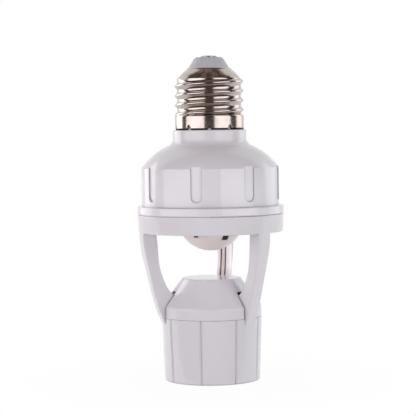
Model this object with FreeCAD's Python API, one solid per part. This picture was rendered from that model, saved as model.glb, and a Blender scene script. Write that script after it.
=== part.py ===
"""Motion sensor lamp holder: screw cap, sensor housing, three-armed yoke and lower bulb socket.

Millimetres, +Z up. The origin is the centre of the lower rim, on which the holder stands.
An azimuth is measured in degrees from -Y, positive towards +X.
"""
import FreeCAD
import Part
import os
from math import atan, cos, degrees, hypot, radians, sin, sqrt, tan

from FreeCAD import Vector

UP = Vector(0, 0, 1)
ORIGIN = Vector(0, 0, 0)

# Clearances
SLIDE = 0.15
FIT = 0.1
SCREW_FIT = 0.05

# Heights, as a stack from the lower rim to the tip of the cap
SHELL_HEIGHT = 24.4
BAND_HEIGHT = 4.2
CONE_HEIGHT = 10.6
YOKE_GAP = 17.6
RING_HEIGHT = 6.9
FLANGE_HEIGHT = 3.2
DRUM_HEIGHT = 14.4
SHOULDER_RISE = 5.5
SADDLE_RISE = 3.9
NECK_HEIGHT = 5.0
SKIRT_HEIGHT = 5.8
THREAD_LENGTH = 13.7
CAP_CONE_HEIGHT = 4.1
INSULATOR_RISE = 4.1
BUTTON_RISE = 0.5

# Screw cap, rolled from sheet; the socket takes a cap of the same thread
PITCH = 3.62
CAP_ROOT_RADIUS = 12.2
THREAD_DEPTH = 0.95
THREAD_ROUND = 1.2
SHEET = 0.45
SKIRT_STEP = 0.05
CAP_MOUTH_RADIUS = 8.0
DIMPLE_COUNT = 10
DIMPLE_RADIUS = 1.6
DIMPLE_DEPTH = 0.3
DIMPLE_HEIGHT = 1.1
INSULATOR_TOP_RADIUS = 5.3
INSULATOR_ROUNDING = 1.8
INSULATOR_PLUG = 1.0
BUTTON_RADIUS = 3.2
BUTTON_STEM_RADIUS = 1.5
BUTTON_STEM_REACH = 1.5

# Upper housing
DRUM_RADIUS = 26.33
KNEE_INSET = 3.83
NECK_STEP = 0.9
HOUSING_WALL = 2.0
KNEE_ROUNDING = 24.0
NECK_ROUNDING = 3.0
SPIGOT_GAP = 1.0
FLUTE_COUNT = 8
FLUTE_AZIMUTH = -11.5
FLUTE_WIDTH = 4.2
FLUTE_DEPTH = 0.6
FLUTE_FOOT = 2.0

# Ring, made of the housing's flange and the yoke's band
RING_STEP = 1.72
RING_TAPER = 0.3
RING_WALL = 2.4
WEB_THICKNESS = 2.0
SEAM_ROUNDING = 0.35
RIM_ROUNDING = 0.5
LIP_DEPTH = 1.5
LIP_WALL = 1.6

# Arms of the yoke
ARM_COUNT = 3
BACK_ARM_AZIMUTH = 167.0
ARM_ANGLE = 13.3
ARM_THICKNESS = 5.35
ARM_LET_IN = 1.2
ARM_ROUNDING = 0.5
CHANNEL_WIDTH = 2.4
CHANNEL_WALL = 1.8
LEAD_DIAMETER = 1.3
LEAD_PAD_INSET = 0.9
LEAD_EASE = 0.8

# Lower shell and cone cap
SHELL_TAPER = 0.85
RIM_WALL = 1.9
LEDGE_THICKNESS = 2.4
GROOVE_SPREAD = 18.5
GROOVE_WIDTH = 1.2
GROOVE_DEPTH = 0.5
CONE_TOP_RADIUS = 11.2
CONE_WALL = 1.8
CONE_TOP_ROUNDING = 0.8
BAND_ROUNDING = 0.7
BAND_SEAM_ROUNDING = 0.25
POCKET_GAP = 0.3
NOTCH_RISE = 0.9
PASSAGE_HEIGHT = 5.4

# Lens and its two dark windows
DOME_RADIUS = 12.9
DOME_DEPTH = 7.3
DOME_WALL = 0.7
LENS_LEDGE = 1.8
LENS_LEDGE_THICKNESS = 1.0
WINDOW_AZIMUTH = 31.5
PHOTOCELL_WINDOW_WIDTH = 2.6
PHOTOCELL_WINDOW_HEIGHT = 2.8
INDICATOR_WINDOW_WIDTH = 2.0
INDICATOR_WINDOW_HEIGHT = 1.7

# Circuit board and what stands on it
BOARD_LIFT = 1.8
BOARD_THICKNESS = 1.6
BOARD_GAP = 1.0
BOARD_POST_WALL = 1.2
BOARD_SCREW_TURN = 20.0
SENSOR_RADIUS = 4.1
SENSOR_RIM = 0.5
SENSOR_HEIGHT = 4.2
SENSOR_LEG = 2.4
SENSOR_LEG_CIRCLE = 2.54
LEG_RADIUS = 0.25
RELAY_LENGTH = 18.6
RELAY_WIDTH = 10.2
RELAY_HEIGHT = 15.3
RELAY_BACK = 7.4
FILM_LENGTH = 13.0
FILM_WIDTH = 5.0
FILM_HEIGHT = 11.0
FILM_FRONT = 11.0
CAN_RADIUS = 4.0
CAN_HEIGHT = 11.5
CAN_RIGHT = 11.7
CAN_FRONT = 1.3
FUSE_RADIUS = 1.6
FUSE_HEIGHT = 9.0
FUSE_LEFT = 12.5
FUSE_FRONT = 6.5
DIODE_COUNT = 4
DIODE_RADIUS = 1.3
DIODE_LENGTH = 4.2
DIODE_SPACING = 4.0
DIODE_FRONT = 3.0
CHIP_LENGTH = 10.0
CHIP_WIDTH = 4.0
CHIP_HEIGHT = 1.5
CHIP_TURN = 110.0
CELL_RADIUS = 1.5
CELL_HEIGHT = 2.6
CELL_GAP = 3.6
PAD_LEFT = 15.0
LIVE_PAD_BACK = 3.5
NEUTRAL_PAD_FRONT = 2.0
PAD_LEAD_RISE = 5.0
CAP_LEAD_DROP = 10.0
NEUTRAL_JOINT_DROP = 4.0
LIVE_LEAD_BENDS = [(-3.0, 2.0), (-6.5, 0.5), (-12.5, 2.0)]
NEUTRAL_LEAD_BENDS = [(-6.0, -2.5), (-7.0, -4.5), (-12.0, -3.0)]
LEAD_SAG = 1.0

# Lower socket
THREAD_PLAY = 0.25
MOUTH_STEP = 0.3
MOUTH_DEPTH = 5.0
CORE_INSET = 1.0
CORE_WALL = 2.0
CORE_NECK_WALL = 0.6
CORE_RISE = 3.8
BASE_THICKNESS = 3.4
PLATE_BORE_RADIUS = 7.0
TAB_THICKNESS = 0.5
TAB_WIDTH = 2.6
LIVE_TAB_RADIUS = 5.0
SHELL_TAB_RADIUS = 9.9
LIVE_TAB_RISE = 3.4
SHELL_TAB_RISE = 1.7

# Sprung centre contact
CONTACT_TRAVEL = 1.5
CONTACT_RADIUS = 4.5
CONTACT_HEAD = 1.5
CONTACT_ROUNDING = 0.9
CONTACT_STEM_RADIUS = 2.0
RECESS_RADIUS = 4.0
RECESS_DEPTH = 1.9
SPRING_PRESSED = 2.0
SPRING_WIRE = 0.5
SPRING_TURNS = 3
SPRING_GAP = 0.02
CLIP_THICKNESS = 0.6
CLIP_WIDTH = 1.2
CLIP_GAP = 0.05
STEM_END = 0.8

# Screws
HOUSING_SCREW_RADIUS = 1.5
HOUSING_SCREW_REACH = 8.0
HOUSING_HEAD_RADIUS = 2.9
HOUSING_HEAD_HEIGHT = 1.4
HEAD_SINK = 0.2
HOUSING_BOSS_RADIUS = 3.2
BOSS_MERGE = 0.5
BOARD_SCREW_RADIUS = 1.0
BOARD_SCREW_REACH = 2.6
BOARD_HEAD_RADIUS = 1.9
BOARD_HEAD_HEIGHT = 1.3
SOCKET_SCREW_CIRCLE = 8.5
SOCKET_SCREW_RADIUS = 1.5
SOCKET_SCREW_REACH = 6.0
SOCKET_HEAD_RADIUS = 2.6
SOCKET_HEAD_HEIGHT = 1.5
SOCKET_BOSS_RADIUS = 2.8
HEAD_ROUNDING = 0.4
DRIVE_SLOT = 0.7
HOLE_SPARE = 1.0

# Levels worked out from the stack
BAND_TOP = SHELL_HEIGHT + BAND_HEIGHT
CONE_TOP = BAND_TOP + CONE_HEIGHT
RING_FOOT = CONE_TOP + YOKE_GAP
SEAM = RING_FOOT + RING_HEIGHT
RING_TOP = SEAM + FLANGE_HEIGHT
CREASE = RING_TOP + DRUM_HEIGHT
KNEE = CREASE + SHOULDER_RISE
SADDLE = KNEE + SADDLE_RISE
CAP_FOOT = SADDLE + NECK_HEIGHT
SKIRT_TOP = CAP_FOOT + SKIRT_HEIGHT
CAP_CONE_FOOT = SKIRT_TOP + THREAD_LENGTH
CAP_CONE_TOP = CAP_CONE_FOOT + CAP_CONE_HEIGHT
INSULATOR_TOP = CAP_CONE_TOP + INSULATOR_RISE
BUTTON_TOP = INSULATOR_TOP + BUTTON_RISE
BUTTON_FOOT = CAP_CONE_FOOT - BUTTON_STEM_REACH
WEB_TOP = RING_FOOT + WEB_THICKNESS
BOARD_FOOT = WEB_TOP + BOARD_LIFT
BOARD_TOP = BOARD_FOOT + BOARD_THICKNESS
DOME_FOOT = RING_FOOT - DOME_DEPTH
LEDGE_FOOT = SHELL_HEIGHT - LEDGE_THICKNESS
CORE_TOP = SHELL_HEIGHT + CORE_RISE
BASE_FOOT = CORE_TOP - BASE_THICKNESS
SLEEVE_FOOT = CORE_INSET + MOUTH_DEPTH
SPRING_LENGTH = CONTACT_TRAVEL + SPRING_PRESSED
SPRING_TOP = BASE_FOOT + RECESS_DEPTH - TAB_THICKNESS
CONTACT_BACK = SPRING_TOP - SPRING_LENGTH
CLIP_FOOT = CORE_TOP + CLIP_GAP

# Radii worked out from the driving sizes
CAP_CREST_RADIUS = CAP_ROOT_RADIUS + THREAD_DEPTH
SKIRT_RADIUS = CAP_CREST_RADIUS + SKIRT_STEP
CAP_SLOPE = (CAP_ROOT_RADIUS - CAP_MOUTH_RADIUS) / CAP_CONE_HEIGHT
NECK_RADIUS = SKIRT_RADIUS + NECK_STEP
KNEE_RADIUS = DRUM_RADIUS - KNEE_INSET
RING_RADIUS = DRUM_RADIUS + RING_STEP
RING_FOOT_RADIUS = RING_RADIUS - RING_TAPER
RING_BORE_RADIUS = RING_RADIUS - RING_WALL
LENS_RADIUS = sqrt(DOME_RADIUS**2 - (DOME_RADIUS - DOME_DEPTH) ** 2)
BOARD_RADIUS = RING_BORE_RADIUS - BOARD_GAP
SOCKET_MINOR_RADIUS = CAP_ROOT_RADIUS + THREAD_PLAY
SLEEVE_SEAT_RADIUS = SOCKET_MINOR_RADIUS + THREAD_DEPTH + SHEET + FIT
MOUTH_RADIUS = SLEEVE_SEAT_RADIUS + MOUTH_STEP
CORE_RADIUS = MOUTH_RADIUS + CORE_WALL
SHELL_BORE_RADIUS = CORE_RADIUS + SLIDE
RIM_RADIUS = SHELL_BORE_RADIUS + RIM_WALL
SHELL_RADIUS = RIM_RADIUS + SHELL_TAPER
LEDGE_BORE_RADIUS = MOUTH_RADIUS + CORE_NECK_WALL + SLIDE
CONE_SLOPE = (SHELL_RADIUS - CONE_TOP_RADIUS) / CONE_HEIGHT
HOUSING_SCREW_CIRCLE = DRUM_RADIUS - HOUSING_WALL + BOSS_MERGE - HOUSING_BOSS_RADIUS
WEB_BOSS_RADIUS = RING_BORE_RADIUS + BOSS_MERGE - HOUSING_SCREW_CIRCLE
BOARD_SCREW_CIRCLE = (LENS_RADIUS + LENS_LEDGE + BOARD_RADIUS) / 2

# Directions of what repeats round the axis
ARM_AZIMUTHS = [BACK_ARM_AZIMUTH + turn * 360 / ARM_COUNT for turn in range(ARM_COUNT)]
GAP_AZIMUTHS = [azimuth + 180 / ARM_COUNT for azimuth in ARM_AZIMUTHS]
BOARD_SCREW_AZIMUTHS = [azimuth + BOARD_SCREW_TURN for azimuth in ARM_AZIMUTHS]
SOCKET_SCREW_AZIMUTHS = [BACK_ARM_AZIMUTH - 90, BACK_ARM_AZIMUTH + 90]


def place(azimuth, radius, height=0.0):
    """The point at an azimuth, radius and height."""
    return Vector(radius * sin(radians(azimuth)), -radius * cos(radians(azimuth)), height)


def turn_to(shape, azimuth):
    """A shape that was made along +X, turned to an azimuth."""
    copy = shape.copy()
    copy.rotate(ORIGIN, UP, azimuth - 90)
    return copy


def outline(corners):
    """A closed face in the XZ plane from (radius, height) or (radius, height, rounding) corners."""
    points = [Vector(corner[0], 0, corner[1]) for corner in corners]
    roundings = [corner[2] if len(corner) > 2 else 0.0 for corner in corners]
    count = len(points)
    halves = []
    for index, point in enumerate(points):
        halves.append((points[index - 1] - point).getAngle(points[(index + 1) % count] - point) / 2)
    reaches = [rounding / tan(half) for rounding, half in zip(roundings, halves)]
    # A side too short for the roundings at its two ends is shared between them
    for index in range(count):
        following = (index + 1) % count
        side = 0.98 * points[index].distanceToPoint(points[following])
        wanted = reaches[index] + reaches[following]
        if wanted > side:
            reaches[index] *= side / wanted
            reaches[following] *= side / wanted
    edges = []
    for index, point in enumerate(points):
        following = (index + 1) % count
        back = (points[index - 1] - point).normalize()
        ahead = (points[following] - point).normalize()
        end = point + ahead * reaches[index]
        if reaches[index]:
            radius = reaches[index] * tan(halves[index])
            middle = point + back.add(ahead).normalize() * (radius / sin(halves[index]) - radius)
            edges.append(Part.Arc(point + back * reaches[index], middle, end).toShape())
        edges.append(Part.LineSegment(end, points[following] - ahead * reaches[following]).toShape())
    return Part.Face(Part.Wire(edges))


def turned(corners, angle=360.0):
    """A solid of revolution about Z, centred on +X when it isn't a full turn."""
    solid = outline(corners).revolve(ORIGIN, UP, angle)
    if angle < 360:
        solid.rotate(ORIGIN, UP, -angle / 2)
    return solid


def offset(points, distance):
    """An open line of (radius, height) points, moved to its right by a distance."""
    moved = []
    for index, (radius, height) in enumerate(points):
        normals = []
        for first, second in ((index - 1, index), (index, index + 1)):
            if first >= 0 and second < len(points):
                run = points[second][0] - points[first][0]
                rise = points[second][1] - points[first][1]
                normals.append((rise / hypot(run, rise), -run / hypot(run, rise)))
        out = sum(normal[0] for normal in normals) / len(normals)
        up = sum(normal[1] for normal in normals) / len(normals)
        scale = distance / (out**2 + up**2)
        moved.append((radius + out * scale, height + up * scale))
    return moved


def cylinder(radius, foot, top, centre=ORIGIN):
    """An upright cylinder between two heights."""
    return Part.makeCylinder(radius, top - foot, Vector(centre.x, centre.y, foot), UP)


def block(length, width, height, centre, foot, azimuth=90.0, rounding=0.0):
    """A box that stands on a foot height, its length along an azimuth, its upright edges rounded."""
    box = Part.makeBox(length, width, height, Vector(-length / 2, -width / 2, 0))
    if rounding:
        upright = [edge for edge in box.Edges if edge.Length == height]
        box = box.makeFillet(rounding, upright)
    box = turn_to(box, azimuth)
    box.translate(Vector(centre.x, centre.y, foot))
    return box


def radial_block(inner, outer, width, foot, top, azimuth):
    """A box between two radii, across one azimuth."""
    middle = place(azimuth, (inner + outer) / 2)
    return block(outer - inner, width, top - foot, middle, foot, azimuth)


def joined(shapes):
    """Shapes fused into one clean solid."""
    return shapes[0].multiFuse(shapes[1:]).removeSplitter()


def curve(points):
    """A smooth edge through points."""
    spline = Part.BSplineCurve()
    spline.interpolate(points)
    return spline.toShape()


def line(first, second):
    """A straight edge between two points."""
    return Part.LineSegment(first, second).toShape()


def helical_rod(centre_radius, rod_radius, start, height, pitch=PITCH):
    """A round rod wound right-handed about Z, from a start height at +X."""
    # A long helix has an edge for each turn, so every face is short enough to mesh well
    path = Part.makeLongHelix(pitch, height, centre_radius)
    path.translate(Vector(0, 0, start))
    section = Part.makeCircle(rod_radius, Vector(centre_radius, 0, start), Vector(0, 1, 0))
    return Part.Wire(path.Edges).makePipeShell([Part.Wire(section)], True, True)


def lead(points):
    """A round lead along straight runs joined by tangent arcs as large as the runs allow."""
    edges = []
    last = points[0]
    for before, here, after in zip(points, points[1:], points[2:]):
        back = before - here
        ahead = after - here
        half = back.getAngle(ahead) / 2
        reach = 0.45 * min(back.Length, ahead.Length)
        radius = reach * tan(half)
        back.normalize()
        ahead.normalize()
        start = here + back * reach
        middle = here + back.add(ahead).normalize() * (radius / sin(half) - radius)
        end = here + ahead * reach
        edges.append(line(last, start))
        edges.append(Part.Arc(start, middle, end).toShape())
        last = end
        print(f"  bend radius {radius:.1f}")
    edges.append(line(last, points[-1]))
    path = Part.Wire(edges)
    section = Part.Wire(Part.makeCircle(LEAD_DIAMETER / 2, points[0], points[1] - points[0]))
    tube = path.makePipeShell([section], True, False)
    plain = path.Length * Part.Face(section).Area
    print(f"  lead length {path.Length:.1f}, volume over section times length {tube.Volume / plain:.4f}")
    return tube


def screw(head_radius, head_height, radius, length):
    """A screw with its head's face at the origin, its cross slot below and its tip up."""
    body = turned([
        (0, 0),
        (head_radius, 0, HEAD_ROUNDING),
        (head_radius, head_height),
        (radius, head_height),
        (radius, length - radius),
        (radius / 2, length),
        (0, length),
    ])
    for azimuth in (0, 90):
        body = body.cut(block(head_radius * 1.2, DRIVE_SLOT, head_height / 2, ORIGIN, 0, azimuth))
    return body


def cap_cone(height, inset=0.0):
    """Radius of the screw cap's cone at a height, less an inset measured square to it."""
    return CAP_MOUTH_RADIUS + (CAP_CONE_TOP - height) * CAP_SLOPE - inset * hypot(1, CAP_SLOPE)


def cap_cone_height(radius, inset):
    """Height at which the screw cap's cone, moved in by an inset, has a radius."""
    return CAP_CONE_TOP - (radius - cap_cone(CAP_CONE_TOP, inset)) / CAP_SLOPE


def cap_body(inset):
    """The screw cap as a full body: its outside, or with an inset of one sheet its bore."""
    skirt = SKIRT_RADIUS - inset
    root = CAP_ROOT_RADIUS - inset
    foot = CAP_FOOT - inset
    top = CAP_CONE_TOP + inset
    core = turned([
        (0, foot),
        (skirt, foot),
        (skirt, SKIRT_TOP - inset, SHEET),
        (root, SKIRT_TOP - inset),
        (root, top),
        (0, top),
    ])
    start = SKIRT_TOP - PITCH / 2
    rod = helical_rod(CAP_CREST_RADIUS - THREAD_ROUND, THREAD_ROUND - inset, start, top + PITCH - start)
    wide = CAP_CREST_RADIUS + THREAD_ROUND
    # One cone trims the core and the thread together
    envelope = turned([
        (0, foot),
        (wide, foot),
        (wide, cap_cone_height(wide, inset)),
        (cap_cone(top, inset), top),
        (0, top),
    ])
    return core.fuse(rod).common(envelope)


def make_cap_shell():
    """The rolled nickel shell: cone, thread, skirt and crimp dents."""
    shell = cap_body(0).cut(cap_body(SHEET))
    dent_circle = SKIRT_RADIUS + DIMPLE_RADIUS - DIMPLE_DEPTH
    for turn in range(DIMPLE_COUNT):
        centre = place(turn * 360 / DIMPLE_COUNT, dent_circle, CAP_FOOT + DIMPLE_HEIGHT)
        shell = shell.cut(Part.makeSphere(DIMPLE_RADIUS, centre))
    return shell


def make_cap_insulator():
    """The grey plug that carries the tip contact, seated on the mouth of the shell's cone."""
    bore = BUTTON_STEM_RADIUS + SCREW_FIT
    inset = SHEET + FIT
    foot_radius = CAP_MOUTH_RADIUS - SHEET / 2
    plug_top = CAP_CONE_FOOT + INSULATOR_PLUG
    return turned([
        (bore, INSULATOR_TOP),
        (INSULATOR_TOP_RADIUS, INSULATOR_TOP, INSULATOR_ROUNDING),
        (foot_radius, CAP_CONE_TOP),
        (cap_cone(CAP_CONE_TOP, inset), CAP_CONE_TOP),
        (cap_cone(plug_top, inset), plug_top),
        (cap_cone(plug_top, inset), CAP_CONE_FOOT),
        (bore, CAP_CONE_FOOT),
    ])


def make_cap_contact():
    """The tip button with its riveted stem."""
    return turned([
        (0, BUTTON_FOOT),
        (BUTTON_STEM_RADIUS, BUTTON_FOOT),
        (BUTTON_STEM_RADIUS, INSULATOR_TOP),
        (BUTTON_RADIUS, INSULATOR_TOP),
        (BUTTON_RADIUS, BUTTON_TOP, 0.7 * BUTTON_RISE),
        (0, BUTTON_TOP),
    ])


def flute(azimuth):
    """Cutter for one flute: a slot with a round foot that runs out through the shoulder."""
    foot = RING_TOP + FLUTE_FOOT + FLUTE_WIDTH / 2
    floor = DRUM_RADIUS - FLUTE_DEPTH
    depth = RING_STEP + FLUTE_DEPTH
    slot = Part.makeBox(depth, FLUTE_WIDTH, KNEE - foot, Vector(floor, -FLUTE_WIDTH / 2, foot))
    end = Part.makeCylinder(FLUTE_WIDTH / 2, depth, Vector(floor, 0, foot), Vector(1, 0, 0))
    return turn_to(slot.fuse(end), azimuth)


def make_upper_housing():
    """Neck, shoulder, fluted drum and flange, one moulding with a hollow inside."""
    spigot = SKIRT_RADIUS - SHEET - FIT
    bore = spigot - HOUSING_WALL
    spigot_top = SKIRT_TOP - SPIGOT_GAP
    outer = [(NECK_RADIUS, SADDLE), (KNEE_RADIUS, KNEE), (DRUM_RADIUS, CREASE), (DRUM_RADIUS, SEAM)]
    saddle, knee, crease = offset(outer, HOUSING_WALL)[:3]
    mouth = saddle[1] + (saddle[0] - bore) * SADDLE_RISE / (KNEE_RADIUS - NECK_RADIUS)
    lip = RING_BORE_RADIUS - FIT
    body = turned([
        (bore, spigot_top),
        (spigot, spigot_top),
        (spigot, CAP_FOOT),
        (NECK_RADIUS, CAP_FOOT, RIM_ROUNDING),
        (NECK_RADIUS, SADDLE, NECK_ROUNDING),
        (KNEE_RADIUS, KNEE, KNEE_ROUNDING),
        (DRUM_RADIUS, CREASE),
        (DRUM_RADIUS, RING_TOP),
        (RING_RADIUS, RING_TOP, SEAM_ROUNDING),
        (RING_RADIUS, SEAM, SEAM_ROUNDING),
        (lip, SEAM),
        (lip, SEAM - LIP_DEPTH),
        (lip - LIP_WALL, SEAM - LIP_DEPTH),
        (lip - LIP_WALL, SEAM),
        (crease[0], SEAM + LIP_WALL),
        crease,
        (*knee, KNEE_ROUNDING - HOUSING_WALL),
        (bore, mouth),
    ])
    flutes = [flute(FLUTE_AZIMUTH + turn * 360 / FLUTE_COUNT) for turn in range(FLUTE_COUNT)]
    body = body.cut(Part.makeCompound(flutes))
    notches = [cylinder(WEB_BOSS_RADIUS + SLIDE, SEAM - LIP_DEPTH, SEAM, place(azimuth, HOUSING_SCREW_CIRCLE))
               for azimuth in GAP_AZIMUTHS]
    body = body.cut(Part.makeCompound(notches))
    posts = [cylinder(HOUSING_BOSS_RADIUS, SEAM, CREASE, place(azimuth, HOUSING_SCREW_CIRCLE))
             for azimuth in GAP_AZIMUTHS]
    body = joined([body] + posts)
    hole_end = SEAM + HOUSING_SCREW_REACH + HOLE_SPARE
    for azimuth in GAP_AZIMUTHS:
        body = body.cut(cylinder(HOUSING_SCREW_RADIUS + SCREW_FIT, SEAM, hole_end,
                                 place(azimuth, HOUSING_SCREW_CIRCLE)))
    return body


def make_housing_screws():
    """Three screws up through the ring's web into the posts of the housing."""
    foot = RING_FOOT + HEAD_SINK
    body = screw(HOUSING_HEAD_RADIUS, HOUSING_HEAD_HEIGHT, HOUSING_SCREW_RADIUS,
                 SEAM + HOUSING_SCREW_REACH - foot)
    return placed_copies(body, [place(azimuth, HOUSING_SCREW_CIRCLE, foot) for azimuth in GAP_AZIMUTHS])


def placed_copies(shape, points):
    """One group of copies of a shape, each moved to its own point."""
    copies = []
    for point in points:
        copy = shape.copy()
        copy.translate(point)
        copies.append(copy)
    return Part.makeCompound(copies)


def ring_radius(height):
    """Outer radius of the ring's lower band at a height."""
    return RING_FOOT_RADIUS + (height - RING_FOOT) * RING_TAPER / RING_HEIGHT


def cone_line(inset):
    """Outer line of the cone cap from the edge of its top to its foot, moved inwards."""
    return offset([
        (CONE_TOP_RADIUS, CONE_TOP),
        (SHELL_RADIUS, BAND_TOP),
        (SHELL_RADIUS, SHELL_HEIGHT),
    ], inset)


def arm_back_line():
    """Outer edge of an arm, from the ring's foot to where it runs into the lower shell."""
    fall = RING_FOOT - SHELL_HEIGHT
    reach = RING_FOOT_RADIUS - SHELL_RADIUS
    shares = [(1.0, 0.0), (0.97, 0.14), (0.72, 0.46), (0.44, 0.78), (0.17, 0.99), (-0.02, 1.1)]
    return [Vector(SHELL_RADIUS + reach * out, 0, RING_FOOT - fall * down) for out, down in shares]


def arm_front_line():
    """Inner edge of an arm, from the ring's web to the point where it meets the cone."""
    tip_height = BAND_TOP + 0.17 * (RING_FOOT - BAND_TOP)
    tip = SHELL_RADIUS - (tip_height - BAND_TOP) * CONE_SLOPE
    lean = RING_FOOT_RADIUS - ARM_THICKNESS - tip
    fall = RING_FOOT - tip_height
    shares = [(1.0, 0.0), (0.9, 0.3), (0.77, 0.6), (0.56, 0.77), (0.28, 0.93), (0.0, 1.0)]
    return [Vector(tip + lean * out, 0, RING_FOOT - fall * down) for out, down in shares]


def arm_face():
    """The side face of an arm; its foot is let into the cone cap and runs into the lower shell."""
    back = arm_back_line()
    front = arm_front_line()
    foot, sill = [Vector(radius, 0, height) for radius, height in cone_line(ARM_LET_IN)[1:]]
    root = RING_FOOT + WEB_THICKNESS / 2
    step = Vector(front[-1].x - ARM_LET_IN * hypot(1, CONE_SLOPE), 0, front[-1].z)
    corners = [back[-1], Vector(sill.x, 0, back[-1].z), foot, step, front[-1]]
    edges = [line(Vector(ring_radius(root), 0, root), back[0]), curve(back)]
    edges += [line(first, second) for first, second in zip(corners, corners[1:])]
    edges.append(curve(front))
    edges.append(line(front[0], Vector(front[0].x, 0, root)))
    edges.append(line(Vector(front[0].x, 0, root), Vector(ring_radius(root), 0, root)))
    return Part.Face(Part.Wire(Part.sortEdges(edges)[0]))


def arm(azimuth):
    """One arm: a sector whose side faces point at the axis, with its long edges rounded."""
    sector = arm_face().revolve(ORIGIN, UP, ARM_ANGLE)
    long_edges = [edge for edge in sector.Edges if edge.Curve.TypeId == "Part::GeomBSplineCurve"]
    sector = sector.makeFillet(ARM_ROUNDING, long_edges)
    sector.rotate(ORIGIN, UP, -ARM_ANGLE / 2)
    return turn_to(sector, azimuth)


def lead_channel():
    """Cutter for the channel of the rear arm: open to the axis, and through the ring's web."""
    back = [(point.x, point.z) for point in arm_back_line()[:-1]]
    floor = [Vector(radius, 0, height) for radius, height in offset(back, CHANNEL_WALL)]
    foot = CORE_TOP - FIT
    floor = [point for point in floor if point.z > foot + HOLE_SPARE]
    web_edge = floor[0].x - 2 * LEAD_DIAMETER - CHANNEL_WALL
    corners = [
        floor[-1],
        Vector(floor[-1].x, 0, foot),
        Vector(CONE_TOP_RADIUS, 0, foot),
        Vector(CONE_TOP_RADIUS, 0, RING_FOOT),
        Vector(web_edge, 0, RING_FOOT),
        Vector(web_edge, 0, WEB_TOP + HOLE_SPARE),
        Vector(floor[0].x, 0, WEB_TOP + HOLE_SPARE),
        floor[0],
    ]
    edges = [curve(floor)] + [line(first, second) for first, second in zip(corners, corners[1:])]
    face = Part.Face(Part.Wire(edges))
    face.translate(Vector(0, -CHANNEL_WIDTH / 2, 0))
    return turn_to(face.extrude(Vector(0, CHANNEL_WIDTH, 0)), BACK_ARM_AZIMUTH)


def groove(azimuth):
    """Cutter for one V groove that follows the taper of the lower shell."""
    floor = RIM_RADIUS - GROOVE_DEPTH
    proud = RIM_RADIUS + GROOVE_DEPTH
    corners = [Vector(floor, 0, 0), Vector(proud, GROOVE_WIDTH, 0), Vector(proud, -GROOVE_WIDTH, 0)]
    section = Part.Face(Part.makePolygon(corners + corners[:1]))
    lean = Vector(SHELL_TAPER, 0, LEDGE_FOOT)
    upper = section.copy()
    upper.translate(lean)
    return turn_to(section.extrude(lean).fuse(upper.extrude(Vector(0, 0, LEDGE_THICKNESS))), azimuth)


def make_yoke_frame():
    """Lower band and web of the ring, three arms and the grooved lower shell, one moulding."""
    lens_hole = LENS_RADIUS + FIT
    ring = turned([
        (lens_hole, RING_FOOT),
        (RING_FOOT_RADIUS, RING_FOOT, RIM_ROUNDING),
        (RING_RADIUS, SEAM, SEAM_ROUNDING),
        (RING_BORE_RADIUS, SEAM),
        (RING_BORE_RADIUS, WEB_TOP),
        (lens_hole, WEB_TOP),
    ])
    shell = turned([
        (SHELL_BORE_RADIUS, 0),
        (RIM_RADIUS, 0, RIM_ROUNDING),
        (SHELL_RADIUS, LEDGE_FOOT),
        (SHELL_RADIUS, SHELL_HEIGHT, BAND_SEAM_ROUNDING),
        (LEDGE_BORE_RADIUS, SHELL_HEIGHT),
        (LEDGE_BORE_RADIUS, LEDGE_FOOT),
        (SHELL_BORE_RADIUS, LEDGE_FOOT),
    ])
    solids = [ring, shell] + [arm(azimuth) for azimuth in ARM_AZIMUTHS]
    solids += [cylinder(WEB_BOSS_RADIUS, WEB_TOP, SEAM, place(azimuth, HOUSING_SCREW_CIRCLE))
               for azimuth in GAP_AZIMUTHS]
    solids += [cylinder(BOARD_SCREW_RADIUS + BOARD_POST_WALL, WEB_TOP, BOARD_FOOT,
                        place(azimuth, BOARD_SCREW_CIRCLE)) for azimuth in BOARD_SCREW_AZIMUTHS]
    frame = joined(solids).cut(lead_channel())
    for azimuth in ARM_AZIMUTHS:
        for spread in (-GROOVE_SPREAD, GROOVE_SPREAD, 180 / ARM_COUNT):
            frame = frame.cut(groove(azimuth + spread))
    for azimuth in BOARD_SCREW_AZIMUTHS:
        frame = frame.cut(cylinder(BOARD_SCREW_RADIUS + SCREW_FIT, BOARD_FOOT - BOARD_SCREW_REACH - FIT,
                                   BOARD_FOOT, place(azimuth, BOARD_SCREW_CIRCLE)))
    for azimuth in GAP_AZIMUTHS:
        centre = place(azimuth, HOUSING_SCREW_CIRCLE)
        frame = frame.cut(cylinder(HOUSING_SCREW_RADIUS + SCREW_FIT, RING_FOOT, SEAM, centre))
        frame = frame.cut(cylinder(HOUSING_HEAD_RADIUS + SLIDE, RING_FOOT,
                                   RING_FOOT + HEAD_SINK + HOUSING_HEAD_HEIGHT, centre))
    return frame


def arm_pocket(azimuth):
    """Cutter for the pocket in the cone cap round the foot of an arm, with a notch over its tip."""
    floor = cone_line(ARM_LET_IN + SLIDE)
    tip = arm_front_line()[-1]
    notch_top = tip.z + NOTCH_RISE
    notch_floor = tip.x - 2 * CONE_WALL
    below = SHELL_HEIGHT - HOLE_SPARE
    pocket = turned([
        (notch_floor, tip.z),
        (notch_floor, notch_top),
        (RING_FOOT_RADIUS, notch_top),
        (RING_FOOT_RADIUS, below),
        (floor[2][0], below),
        floor[1],
        (tip.x - (ARM_LET_IN + SLIDE) * hypot(1, CONE_SLOPE), tip.z),
    ], ARM_ANGLE + 2 * degrees(atan(POCKET_GAP / SHELL_RADIUS)))
    return turn_to(pocket, azimuth)


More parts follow.
